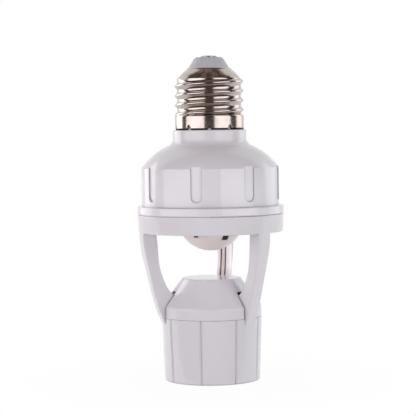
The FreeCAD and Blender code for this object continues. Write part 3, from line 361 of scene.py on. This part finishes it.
# %% World
world = bpy.data.worlds.new("studio")
scene.world = world
world.use_nodes = True
backdrop = world.node_tree.nodes["Background"]
backdrop.inputs["Color"].default_value = BACKDROP_WHITE
backdrop.inputs["Strength"].default_value = 1.0
scene.view_settings.view_transform = "Standard"
print("backdrop strength:", backdrop.inputs["Strength"].default_value)

# %% [markdown]
# The floor is a table lit from below: it looks white, and it throws light up at the dome. Near the
# object some plain paper shows through, and that keeps the shadow.

# %% Floor
FLOOR_SIDE = 8.0

bpy.ops.object.select_all(action="DESELECT")
bpy.ops.mesh.primitive_plane_add(size=FLOOR_SIDE, location=(0, 0, 0))
floor = bpy.context.object
floor.name = "floor"
floor_finish = glowing("floor", (1, 1, 1))
floor.data.materials.append(floor_finish)
print("floor side in m:", FLOOR_SIDE)

# %% [markdown]
# The camera and mirrors see the floor nearly white. Everything else gets less light from it, which
# the Light Path node tells apart.

# %% Glow of the floor
PAPER = (0.82, 0.82, 0.82, 1)
GLOW_NEAR = 0.96
GLOW_UPWARD = 0.45
SHADOW_START = 0.03
SHADOW_END = 0.09

tree = floor_finish.node_tree
paper = tree.nodes.new("ShaderNodeBsdfDiffuse")
paper.inputs["Color"].default_value = PAPER
away = tree.nodes.new("ShaderNodeVectorMath")
away.operation = "LENGTH"
tree.links.new(object_place(tree), away.inputs[0])
seen_glow = spread(tree, away.outputs["Value"], GLOW_NEAR, 1.0, start=SHADOW_START, end=SHADOW_END)
ray = tree.nodes.new("ShaderNodeLightPath").outputs
mirrored = calculated(tree, "MAXIMUM", ray["Is Glossy Ray"], ray["Is Transmission Ray"])
seen = calculated(tree, "MAXIMUM", ray["Is Camera Ray"], mirrored)
share = tree.nodes.new("ShaderNodeMix")
share.inputs["A"].default_value = GLOW_UPWARD
tree.links.new(seen, share.inputs["Factor"])
tree.links.new(seen_glow, share.inputs["B"])
mix = tree.nodes.new("ShaderNodeMixShader")
tree.links.new(share.outputs["Result"], mix.inputs["Fac"])
tree.links.new(paper.outputs[0], mix.inputs[1])
tree.links.new(tree.nodes["Emission"].outputs[0], mix.inputs[2])
tree.links.new(mix.outputs[0], tree.nodes["Material Output"].inputs["Surface"])
print("glow seen near the object:", GLOW_NEAR, "and thrown upwards:", GLOW_UPWARD)

# %% [markdown]
# ## Finishes
# No real surface has one flat colour. Each finish starts from a Principled shader, and small noises
# on Object coordinates shift its colour by a few percent, vary its roughness and make a fine bump,
# all at the size that the real material shows.

# %% Helpers for finishes


def new_finish(name, roughness, metallic=0.0, specular=0.5):
    """A material with its node tree, its shader and the object's own coordinates."""
    finish = bpy.data.materials.new(name)
    finish.use_nodes = True
    tree = finish.node_tree
    shader = tree.nodes["Principled BSDF"]
    shader.inputs["Metallic"].default_value = metallic
    shader.inputs["Roughness"].default_value = roughness
    shader.inputs["Specular IOR Level"].default_value = specular
    return finish, tree, shader, object_place(tree)


def stretched(tree, place, scale):
    """Object coordinates multiplied along each axis, for grain that runs one way."""
    mapping = tree.nodes.new("ShaderNodeMapping")
    mapping.inputs["Scale"].default_value = scale
    tree.links.new(place, mapping.inputs["Vector"])
    return mapping.outputs["Vector"]


def bump(tree, shader, height, depth):
    """Relief whose full height is depth, in metres."""
    relief = tree.nodes.new("ShaderNodeBump")
    relief.inputs["Distance"].default_value = depth
    relief.inputs["Strength"].default_value = 1.0
    tree.links.new(height, relief.inputs["Height"])
    tree.links.new(relief.outputs["Normal"], shader.inputs["Normal"])


def dress(finish, *names):
    """Gives CAD nodes a finish in place of the plain one that they came with."""
    for name in names:
        nodes[name].data.materials.clear()
        nodes[name].data.materials.append(finish)
    print(finish.name, "on", ", ".join(names))


# %% [markdown]
# Most pieces are either moulded plastic or metal. Plastic has soft clouds of flow marks. Metal has
# fine marks from drawing or rolling, which change its gloss and its relief together.

# %% Helpers for plastic and metal
PLASTIC_GLOSS = (0.85, 1.15)
METAL_GLOSS = (0.8, 1.3)
TARNISH_SIZE = 2.5 * MM


def vary_roughness(tree, shader, value, roughness, shares):
    """Lets a noise move the roughness between two shares of its mean."""
    low, high = shares
    gloss = spread(tree, value, low * roughness, high * roughness)
    tree.links.new(gloss, shader.inputs["Roughness"])


def moulded(name, colour, roughness, mottle=0.04, blotch=6 * MM, grain=0.35 * MM,
            relief=0.004 * MM, specular=0.5):
    """Moulded plastic: faint flow marks in colour and gloss, and a very fine skin."""
    finish, tree, shader, place = new_finish(name, roughness, specular=specular)
    flow = noise(tree, place, blotch)
    tones = tint(tree, flow, shade(colour, 1 - mottle), shade(colour, 1 + mottle))
    tree.links.new(tones, shader.inputs["Base Color"])
    vary_roughness(tree, shader, noise(tree, place, blotch / 3), roughness, PLASTIC_GLOSS)
    bump(tree, shader, noise(tree, place, grain, detail=2.0), relief)
    return finish


def metal(name, colour, roughness, grain, scale=(1, 1, 1), relief=0.003 * MM, tarnish=0.08):
    """Bare or plated metal: fine drawing marks one way, and clouds of tarnish."""
    finish, tree, shader, place = new_finish(name, roughness, metallic=1.0)
    clouds = noise(tree, place, TARNISH_SIZE)
    tones = tint(tree, clouds, shade(colour, 1 - tarnish), shade(colour, 1 + tarnish / 2))
    tree.links.new(tones, shader.inputs["Base Color"])
    marks = noise(tree, stretched(tree, place, scale), grain, detail=4.0)
    vary_roughness(tree, shader, marks, roughness, METAL_GLOSS)
    bump(tree, shader, marks, relief)
    return finish


# %% [markdown]
# ### Lips and crevices
# A mould leaves a small rounding on its lips, and narrow seams lie in shade. A Bevel node rounds
# the light on sharp edges, and an Ambient Occlusion node paints that shade into the colour where
# walls are near.

# %% Helpers for lips and crevices
EDGE_SAMPLES = 4
LIP_ROUNDING = 0.45 * MM
CREVICE_REACH = 1.2 * MM
CREVICE_DARK = 0.25
CREVICE_OPEN = 0.8


def round_lips(finish):
    """Gives every sharp lip a small rounding, so that it catches the soft boxes."""
    tree = finish.node_tree
    lips = tree.nodes.new("ShaderNodeBevel")
    lips.samples = EDGE_SAMPLES
    lips.inputs["Radius"].default_value = LIP_ROUNDING
    tree.links.new(lips.outputs["Normal"], tree.nodes["Bump"].inputs["Normal"])


def paint_crevice_shade(finish, tone):
    """Paints shade into the colour: it falls to a share of itself in narrow grooves and seams."""
    tree = finish.node_tree
    base = tree.nodes["Principled BSDF"].inputs["Base Color"]
    hollow = tree.nodes.new("ShaderNodeAmbientOcclusion")
    hollow.inputs["Distance"].default_value = CREVICE_REACH
    hollow.samples = EDGE_SAMPLES
    dark = spread(tree, hollow.outputs["AO"], tone, 1.0, start=CREVICE_DARK, end=CREVICE_OPEN)
    shaded = colour_mix(tree, blend="MULTIPLY")
    shaded.inputs["Factor"].default_value = 1.0
    tree.links.new(base.links[0].from_socket, shaded.inputs["A"])
    tree.links.new(dark, shaded.inputs["B"])
    tree.links.new(shaded.outputs["Result"], base)


# %% [markdown]
# ### Painted light through the rear arm
# The rear arm is a thin channel in front of the bright backdrop, and it looks paler than the rest,
# as if light came through its walls. That light is painted: a mask on Object coordinates picks out
# the depth and height of the arm's inner part, and there the colour is made paler and the surface
# glows a little, though it is no lamp.

# %% Helper for the light painted on the rear arm
# Tone and glow strength of the light painted on the rear arm.
PAINTED_ARM_LIGHT = (0.88, 0.83, 0.86)
PAINTED_ARM_GLOW = 0.15
ARM_FRONT = 15 * MM
ARM_BACK = 23.5 * MM
ARM_FOOT = 38 * MM
ARM_TOP = 58 * MM
ARM_EDGE = 1 * MM
ARM_FOOT_FADE = 4 * MM


def arm_mask(tree):
    """A value that is 1 at the depth and height of the rear arm, and fades to 0 past their ends."""
    axes = axes_of(tree, object_place(tree))
    behind = spread(tree, axes["Y"], 0.0, 1.0, start=ARM_FRONT - ARM_EDGE, end=ARM_FRONT)
    inside = spread(tree, axes["Y"], 1.0, 0.0, start=ARM_BACK - ARM_EDGE, end=ARM_BACK)
    over = spread(tree, axes["Z"], 0.0, 1.0, start=ARM_FOOT, end=ARM_FOOT + ARM_FOOT_FADE)
    under = spread(tree, axes["Z"], 1.0, 0.0, start=ARM_TOP - ARM_EDGE, end=ARM_TOP)
    in_depth = calculated(tree, "MULTIPLY", behind, inside)
    in_height = calculated(tree, "MULTIPLY", over, under)
    return calculated(tree, "MULTIPLY", in_depth, in_height)


def paint_light_on_arm(finish):
    """Paints light on the rear arm: a paler colour and a weak glow, though it is no lamp."""
    tree = finish.node_tree
    shader = tree.nodes["Principled BSDF"]
    mask = arm_mask(tree)
    painted_light = colour_mix(tree)
    tree.links.new(mask, painted_light.inputs["Factor"])
    tree.links.new(shader.inputs["Base Color"].links[0].from_socket, painted_light.inputs["A"])
    painted_light.inputs["B"].default_value = (*PAINTED_ARM_LIGHT, 1)
    tree.links.new(painted_light.outputs["Result"], shader.inputs["Base Color"])
    shader.inputs["Emission Color"].default_value = (*PAINTED_ARM_LIGHT, 1)
    painted_glow = spread(tree, mask, 0.0, PAINTED_ARM_GLOW, start=0.0, end=1.0)
    tree.links.new(painted_glow, shader.inputs["Emission Strength"])


# %% [markdown]
# ### White housing
# The housing, the yoke and the cone cap are moulded in one glossy white plastic with a touch of
# lavender. The bands of the soft boxes have crisp edges on it, so the roughness is low, and a skin
# of very shallow waves keeps them from looking like a mirror.

# %% White plastic
WHITE = (0.665, 0.645, 0.685)
WHITE_CREVICE = 0.55

white_plastic = moulded(
    "white_plastic", WHITE, roughness=0.06, mottle=0.012, blotch=14 * MM, grain=2.2 * MM)
round_lips(white_plastic)
# Painted light: the rear arm is made paler and glows a little.
paint_light_on_arm(white_plastic)
# Painted shade: the white darkens in grooves, seams and pockets.
paint_crevice_shade(white_plastic, WHITE_CREVICE)
dress(white_plastic, "upper_housing", "yoke_frame", "cone_cap")

# %% [markdown]
# ### Screw shell and tip
# Nickel plate on rolled sheet. It mirrors the studio: white boxes, and warm black between them.
# Rolling leaves fine marks round the axis, so the noise is stretched level and squeezed in height.
# The joint under the shell lies in shade as a thin dark line, and that shade is painted as a matt
# near-black finish.

# %% Nickel and the painted shade of the joint
NICKEL = (0.50, 0.44, 0.405)
NICKEL_CREVICE = 0.08
# Near-black tone of the shade painted into the joint under the shell.
PAINTED_JOINT_SHADE = (0.012, 0.010, 0.009)

nickel = metal(
    "nickel", NICKEL, roughness=0.155, grain=0.5 * MM, scale=(0.25, 0.25, 3), relief=0.004 * MM)
# Painted shade: the nickel darkens in the thread's valleys, the dents and the recess at its foot.
paint_crevice_shade(nickel, NICKEL_CREVICE)
dress(nickel, "cap_shell", "cap_contact", "socket_shell")
# A matt near-black finish that paints the shade of the joint, not dirt.
grime = moulded("grime", PAINTED_JOINT_SHADE, roughness=0.8, mottle=0.3, blotch=0.6 * MM, specular=0.1)

# %% [markdown]
# ### Grey insulator
# The plug round the tip contact is a filled moulding compound: matt, blue-grey, faintly speckled.

# %% Grey compound
CAP_GREY = (0.45, 0.46, 0.50)

cap_grey = moulded(
    "cap_grey", CAP_GREY, roughness=0.5, mottle=0.10, blotch=0.8 * MM, grain=0.25 * MM,
    relief=0.012 * MM)
dress(cap_grey, "cap_insulator")

# %% [markdown]
# ### Milky dome
# A thin polyethylene dome lets infrared through and looks like candle wax. Light enters it and
# leaves again nearby, which subsurface scattering copies, and its skin has a dull sheen.

# %% Milky polyethylene
MILKY = (0.84, 0.745, 0.725)
MILKY_SHIFT = 0.03
MILKY_CLOUD = 5 * MM
MILKY_PATCH = 1.5 * MM
MILKY_GRAIN = 0.8 * MM
MILKY_DEPTH = 1.2 * MM
MILKY_SPREAD = (1.0, 0.8, 0.7)
MILKY_SHARE = 0.35
MILKY_RELIEF = 0.006 * MM
DULLNESS = (0.28, 0.42)

milky, tree, shader, place = new_finish("milky_plastic", roughness=0.34)
cloud = noise(tree, place, MILKY_CLOUD)
tones = tint(tree, cloud, shade(MILKY, 1 - MILKY_SHIFT), shade(MILKY, 1 + MILKY_SHIFT))
tree.links.new(tones, shader.inputs["Base Color"])
sheen = spread(tree, noise(tree, place, MILKY_PATCH), *DULLNESS)
tree.links.new(sheen, shader.inputs["Roughness"])
shader.inputs["Subsurface Weight"].default_value = MILKY_SHARE
shader.inputs["Subsurface Radius"].default_value = MILKY_SPREAD
shader.inputs["Subsurface Scale"].default_value = MILKY_DEPTH
bump(tree, shader, noise(tree, place, MILKY_GRAIN), MILKY_RELIEF)
dress(milky, "lens_dome")

# %% [markdown]
# ### Dark windows, and what looks through them
# Two small inserts at the dome's upper edge are nearly black and glossy. A light cell sits behind
# the larger one, and a red indicator behind the smaller.

# %% Windows and cells
WINDOW_BLACK = (0.006, 0.005, 0.006)
CELL_BROWN = (0.32, 0.16, 0.08)
INDICATOR_RED = (0.55, 0.03, 0.02)

dark_plastic = moulded(
    "dark_plastic", WINDOW_BLACK, roughness=0.2, mottle=0.2, blotch=1 * MM, specular=0.2)
dress(dark_plastic, "photocell_window", "indicator_window")
cell_brown = moulded("cell_brown", CELL_BROWN, roughness=0.4, mottle=0.15, blotch=0.6 * MM)
dress(cell_brown, "photocell")
indicator_red = moulded("indicator_red", INDICATOR_RED, roughness=0.12, mottle=0.08, blotch=1 * MM)
dress(indicator_red, "indicator_lamp")

# %% [markdown]
# ### Leads
# Soft insulation with a waxy gloss. The lead that faces the camera in the rear arm is cream; its
# partner behind it is brown.

# %% Lead insulation
LEAD_CREAM = (0.85, 0.75, 0.70)
LEAD_BROWN = (0.26, 0.15, 0.10)

lead_cream = moulded("lead_cream", LEAD_CREAM, roughness=0.38, mottle=0.05, blotch=2 * MM)
lead_brown = moulded("lead_brown", LEAD_BROWN, roughness=0.38, mottle=0.12, blotch=2 * MM)
dress(lead_cream, "lamp_lead_live", "cap_lead_neutral")
dress(lead_brown, "lamp_lead_neutral", "cap_lead_live")

# %% [markdown]
# ### Circuit board
# Green solder mask over copper tracks: a brick pattern stands in for the tracks, which show as
# slightly lighter bars under the mask.

# %% Board
BAR_LENGTH = 4 * MM
BAR_GREEN = (0.015, 0.12, 0.045, 1)
LIGHT_BAR_GREEN = (0.02, 0.15, 0.06, 1)
GAP_GREEN = (0.008, 0.07, 0.03, 1)
GAP_SHARE = 0.04
TRACK_DEPTH = 0.03 * MM
BOARD_GRAIN = 1 * MM
BOARD_GLOSS = (0.22, 0.4)

board_green, tree, shader, place = new_finish("board_green", roughness=0.3)
tracks = tree.nodes.new("ShaderNodeTexBrick")
tracks.inputs["Scale"].default_value = 1 / BAR_LENGTH
tracks.inputs["Color1"].default_value = BAR_GREEN
tracks.inputs["Color2"].default_value = LIGHT_BAR_GREEN
tracks.inputs["Mortar"].default_value = GAP_GREEN
tracks.inputs["Mortar Size"].default_value = GAP_SHARE
tree.links.new(place, tracks.inputs["Vector"])
tree.links.new(tracks.outputs["Color"], shader.inputs["Base Color"])
board_gloss = spread(tree, noise(tree, place, BOARD_GRAIN), *BOARD_GLOSS)
tree.links.new(board_gloss, shader.inputs["Roughness"])
bump(tree, shader, tracks.outputs["Fac"], TRACK_DEPTH)
dress(board_green, "circuit_board")

# %% [markdown]
# ### Components
# Each component has the colour it usually has: a blue relay, a yellow film capacitor, a black can,
# a blue-grey resistor, and black diodes and chip with a matt moulded skin.

# %% Components
RELAY_BLUE = (0.03, 0.09, 0.30)
FILM_YELLOW = (0.60, 0.36, 0.03)
CAN_BLACK = (0.02, 0.02, 0.03)
RESISTOR_BLUE = (0.10, 0.22, 0.32)
DIODE_BLACK = (0.02, 0.02, 0.02)

relay_blue = moulded("relay_blue", RELAY_BLUE, roughness=0.35, mottle=0.08, blotch=3 * MM)
dress(relay_blue, "relay")
film_yellow = moulded("film_yellow", FILM_YELLOW, roughness=0.28, mottle=0.08, blotch=2 * MM)
dress(film_yellow, "dropper_capacitor")
can_black = moulded("can_black", CAN_BLACK, roughness=0.3, mottle=0.15, blotch=2 * MM)
dress(can_black, "smoothing_capacitor")
resistor_blue = moulded("resistor_blue", RESISTOR_BLUE, roughness=0.4, mottle=0.1, blotch=1 * MM)
dress(resistor_blue, "fuse_resistor")
diode_black = moulded("diode_black", DIODE_BLACK, roughness=0.5, mottle=0.2, blotch=0.8 * MM)
dress(diode_black, "rectifier_diodes", "control_chip")

# %% [markdown]
# ### Lower socket
# The insert is a heat-proof ivory moulding with a matt skin. The contact and its terminal are
# plain brass, the spring and the clip drawn steel, and the screws zinc plated. The metal can of the
# heat sensor, further up, gets its finish here too.

# %% Socket insert and brass
CORE_IVORY = (0.66, 0.64, 0.59)
BRASS = (0.72, 0.50, 0.20)

core_ivory = moulded(
    "core_ivory", CORE_IVORY, roughness=0.45, mottle=0.04, blotch=4 * MM, relief=0.01 * MM)
dress(core_ivory, "socket_core")
contact_brass = metal("contact_brass", BRASS, roughness=0.25, grain=0.4 * MM, scale=(1, 1, 0.3))
dress(contact_brass, "centre_contact", "live_terminal")

# %% Steel and zinc
SPRING_GREY = (0.50, 0.50, 0.51)
SENSOR_GREY = (0.62, 0.61, 0.58)
SCREW_GREY = (0.58, 0.58, 0.56)

spring_steel = metal("spring_steel", SPRING_GREY, roughness=0.25, grain=0.3 * MM)
dress(spring_steel, "contact_spring", "contact_clip")
sensor_metal = metal("sensor_metal", SENSOR_GREY, roughness=0.3, grain=0.4 * MM)
dress(sensor_metal, "pyro_sensor")
screw_steel = metal("screw_steel", SCREW_GREY, roughness=0.3, grain=0.25 * MM)
dress(screw_steel, "housing_screws", "board_screws", "socket_screws")

# %% [markdown]
# ## Screw shell
# The real shell is thin sheet, rolled between two tools, so crest and valley are arcs that meet
# smoothly. The wide streaks lie in the valleys and the thin ones on the crests, so the valley's arc
# is the wider. A tube with many rings can take that form: every point moves in or out to the radius
# that the rolled profile has at its own height and angle. That gives a true helix, and both ends of
# the thread run out by themselves where the skirt and the cone are.

# %% Sizes of the thread
SHELL_LOW, SHELL_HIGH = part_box("cap_shell")
SHELL_FOOT = SHELL_LOW.z
SHELL_TOP = SHELL_HIGH.z
SKIRT_RADIUS = SHELL_HIGH.x
PITCH = 3.62 * MM
CREST_INSET = 0.05 * MM
THREAD_DEPTH = 0.95 * MM
CREST_SHARE = 0.32
CREST_HEIGHT = 106.9 * MM

CREST_RADIUS = SKIRT_RADIUS - CREST_INSET
ROOT_RADIUS = CREST_RADIUS - THREAD_DEPTH
BOTH_RADII = (PITCH**2 / 4 + THREAD_DEPTH**2) / (2 * THREAD_DEPTH)
CREST_ARC = CREST_SHARE * BOTH_RADII
VALLEY_ARC = BOTH_RADII - CREST_ARC
CREST_REACH = PITCH / 2 * CREST_ARC / BOTH_RADII
print("crest and valley arcs in mm:", round(CREST_ARC / MM, 2), round(VALLEY_ARC / MM, 2))

# %% Sizes of the skirt and the cone
SKIRT_HEIGHT = 5.8 * MM
SKIRT_ROUNDING = 0.8 * MM
EDGE_HEIGHT = 0.5 * MM
EDGE_INSET = 0.3 * MM
CONE_HEIGHT = 4.1 * MM
CONE_SWELL = 0.25 * MM
MOUTH_RADIUS = 8.0 * MM
LIP_HEIGHT = 0.5 * MM
LIP_SWELL = 0.18 * MM
WAVE_DEPTH = 0.07 * MM
WAVES_AROUND = 3
WAVE_TWIST = 1 / MM

SKIRT_TOP = SHELL_FOOT + SKIRT_HEIGHT
CONE_SLOPE = (ROOT_RADIUS - MOUTH_RADIUS) / CONE_HEIGHT
print("cone widens by", round(CONE_SLOPE, 2), "mm for each mm of height")

# %% Rolled profile


def thread_radius(height, angle):
    """Radius of the rolled thread: a tight arc over the crest and a wide one in the valley."""
    turns = (height - CREST_HEIGHT) / PITCH - angle / tau
    from_crest = abs(turns - round(turns)) * PITCH
    if from_crest < CREST_REACH:
        return CREST_RADIUS - CREST_ARC + sqrt(CREST_ARC**2 - from_crest**2)
    return ROOT_RADIUS + VALLEY_ARC - sqrt(VALLEY_ARC**2 - (PITCH / 2 - from_crest) ** 2)


def skirt_radius(height):
    """Radius of the plain skirt, with its rounded shoulder and the inset edge at its foot."""
    over = height - (SKIRT_TOP - SKIRT_ROUNDING)
    if over > SKIRT_ROUNDING:
        return 0.0
    if over > 0:
        return SKIRT_RADIUS - SKIRT_ROUNDING + sqrt(SKIRT_ROUNDING**2 - over**2)
    if height - SHELL_FOOT < EDGE_HEIGHT:
        return SKIRT_RADIUS - EDGE_INSET
    return SKIRT_RADIUS


def cone_radius(height, angle):
    """Radius of the cone that carries the insulator: full, spun a little wavy, with a rolled lip."""
    down = SHELL_TOP - height
    bow = sin(pi * min(1.0, down / CONE_HEIGHT))
    lip = LIP_SWELL * sin(pi * min(1.0, down / LIP_HEIGHT))
    wave = WAVE_DEPTH * sin(WAVES_AROUND * angle + down * WAVE_TWIST) * bow
    return MOUTH_RADIUS + down * CONE_SLOPE + CONE_SWELL * bow + lip + wave


# %% Crimp dents
DENT_COUNT = 10
DENT_LIFT = 0.4 * MM
DENT_RISE = 1.5 * MM
DENT_REACH = 0.8 * MM
DENT_DEPTH = 0.45 * MM
DENT_FOOT = SHELL_FOOT + DENT_LIFT


def dent_depth(height, angle):
    """How far a crimp dent pushes the skirt in, with the first dent at the front."""
    step = tau / DENT_COUNT
    aside = (angle + pi / 2 + step / 2) % step - step / 2
    away = hypot(aside * SKIRT_RADIUS / DENT_REACH, (height - DENT_FOOT) / DENT_RISE)
    return DENT_DEPTH * max(0.0, 1 - away**2)


def shell_radius(height, angle):
    """Outer radius of the screw shell at a height and angle."""
    rolled = max(thread_radius(height, angle), skirt_radius(height))
    return min(rolled, cone_radius(height, angle)) - dent_depth(height, angle)


print("space between dents in mm:", round(tau * SKIRT_RADIUS / DENT_COUNT / MM, 2))

# %% Tube with many rings
AROUND = 300
RINGS = 155

bpy.ops.object.select_all(action="DESELECT")
bpy.ops.mesh.primitive_cylinder_add(
    vertices=AROUND, radius=SKIRT_RADIUS, depth=SHELL_TOP - SHELL_FOOT,
    end_fill_type="NOTHING", location=(0, 0, (SHELL_FOOT + SHELL_TOP) / 2))
shell = bpy.context.object
shell.name = "rolled_screw_shell"
bpy.ops.object.transform_apply(location=True, rotation=True, scale=True)
bpy.ops.object.mode_set(mode="EDIT")
bpy.ops.mesh.select_mode(type="EDGE")
bpy.ops.mesh.select_all(action="DESELECT")
tube = bmesh.from_edit_mesh(shell.data)
for edge in tube.edges:
    edge.select_set(abs(edge.verts[0].co.z - edge.verts[1].co.z) > MM)
bmesh.update_edit_mesh(shell.data)
bpy.ops.mesh.subdivide(number_cuts=RINGS - 1)
bpy.ops.object.mode_set(mode="OBJECT")
print("points in the tube:", len(shell.data.vertices))

# %% Roll the thread
radii = []
for vertex in shell.data.vertices:
    angle = atan2(vertex.co.y, vertex.co.x)
    radius = shell_radius(vertex.co.z, angle)
    vertex.co.x = radius * cos(angle)
    vertex.co.y = radius * sin(angle)
    radii.append(radius)
shell.data.update()
print("radii of the shell in mm:", round(min(radii) / MM, 2), "to", round(max(radii) / MM, 2))

# %% [markdown]
# The sheet gets its thickness inwards, so the outside stays where the CAD part has it. Then the
# piece takes the nickel finish, with a near-black painted shade of the joint on the faces of its
# inset edge, and stands for the CAD shell.

# %% Sheet thickness
SHEET = 0.4 * MM
SMOOTH_ANGLE = radians(50)

solidify = shell.modifiers.new("sheet", "SOLIDIFY")
solidify.thickness = SHEET
solidify.offset = -1
bpy.ops.object.modifier_apply(modifier=solidify.name)
bpy.ops.object.shade_smooth_by_angle(angle=SMOOTH_ANGLE)
print("screw shell faces:", len(shell.data.polygons))

# %% The shell takes its place
shell.data.materials.append(nickel)
shell.data.materials.append(grime)
# The faces of the inset edge get the near-black painted shade of the joint.
for face in shell.data.polygons:
    face.material_index = int(face.center.z - SHELL_FOOT < EDGE_HEIGHT)
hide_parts("cap_shell")
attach(shell, "holder")
print("faces with grime:", sum(face.material_index for face in shell.data.polygons))

# %% [markdown]
# ## Contact spring
# The spring behind the centre contact is wound again here. A small ring turns round the axis while
# it climbs, and both ends get a face.

# %% Sizes of the spring
SPRING_LOW, SPRING_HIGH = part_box("contact_spring")
WIRE_RADIUS = 0.25 * MM
WIRE_SIDES = 12
SPRING_TURNS = 3
STEPS_A_TURN = 32
COIL_RADIUS = SPRING_HIGH.x - WIRE_RADIUS
SPRING_LENGTH = SPRING_HIGH.z - SPRING_LOW.z
print("spring length in mm:", round(SPRING_LENGTH / MM, 2))

# %% Wind the spring
bpy.ops.object.select_all(action="DESELECT")
bpy.ops.mesh.primitive_circle_add(
    vertices=WIRE_SIDES, radius=WIRE_RADIUS, rotation=(pi / 2, 0, 0),
    location=(COIL_RADIUS, 0, SPRING_LOW.z + WIRE_RADIUS))
spring = bpy.context.object
spring.name = "wound_spring"
bpy.ops.object.transform_apply(location=True, rotation=True, scale=True)
winding = spring.modifiers.new("winding", "SCREW")
winding.axis = "Z"
winding.screw_offset = (SPRING_LENGTH - 2 * WIRE_RADIUS) / SPRING_TURNS
winding.iterations = SPRING_TURNS
winding.steps = STEPS_A_TURN
winding.render_steps = STEPS_A_TURN
bpy.ops.object.modifier_apply(modifier=winding.name)
bpy.ops.object.mode_set(mode="EDIT")
bpy.ops.mesh.select_all(action="SELECT")
bpy.ops.mesh.fill_holes(sides=0)
bpy.ops.mesh.normals_make_consistent(inside=False)
bpy.ops.object.mode_set(mode="OBJECT")
bpy.ops.object.shade_smooth_by_angle(angle=SMOOTH_ANGLE)
print("spring faces:", len(spring.data.polygons))

# %% The spring takes its place
spring.data.materials.append(spring_steel)
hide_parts("contact_spring")
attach(spring, "holder")
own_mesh(spring)
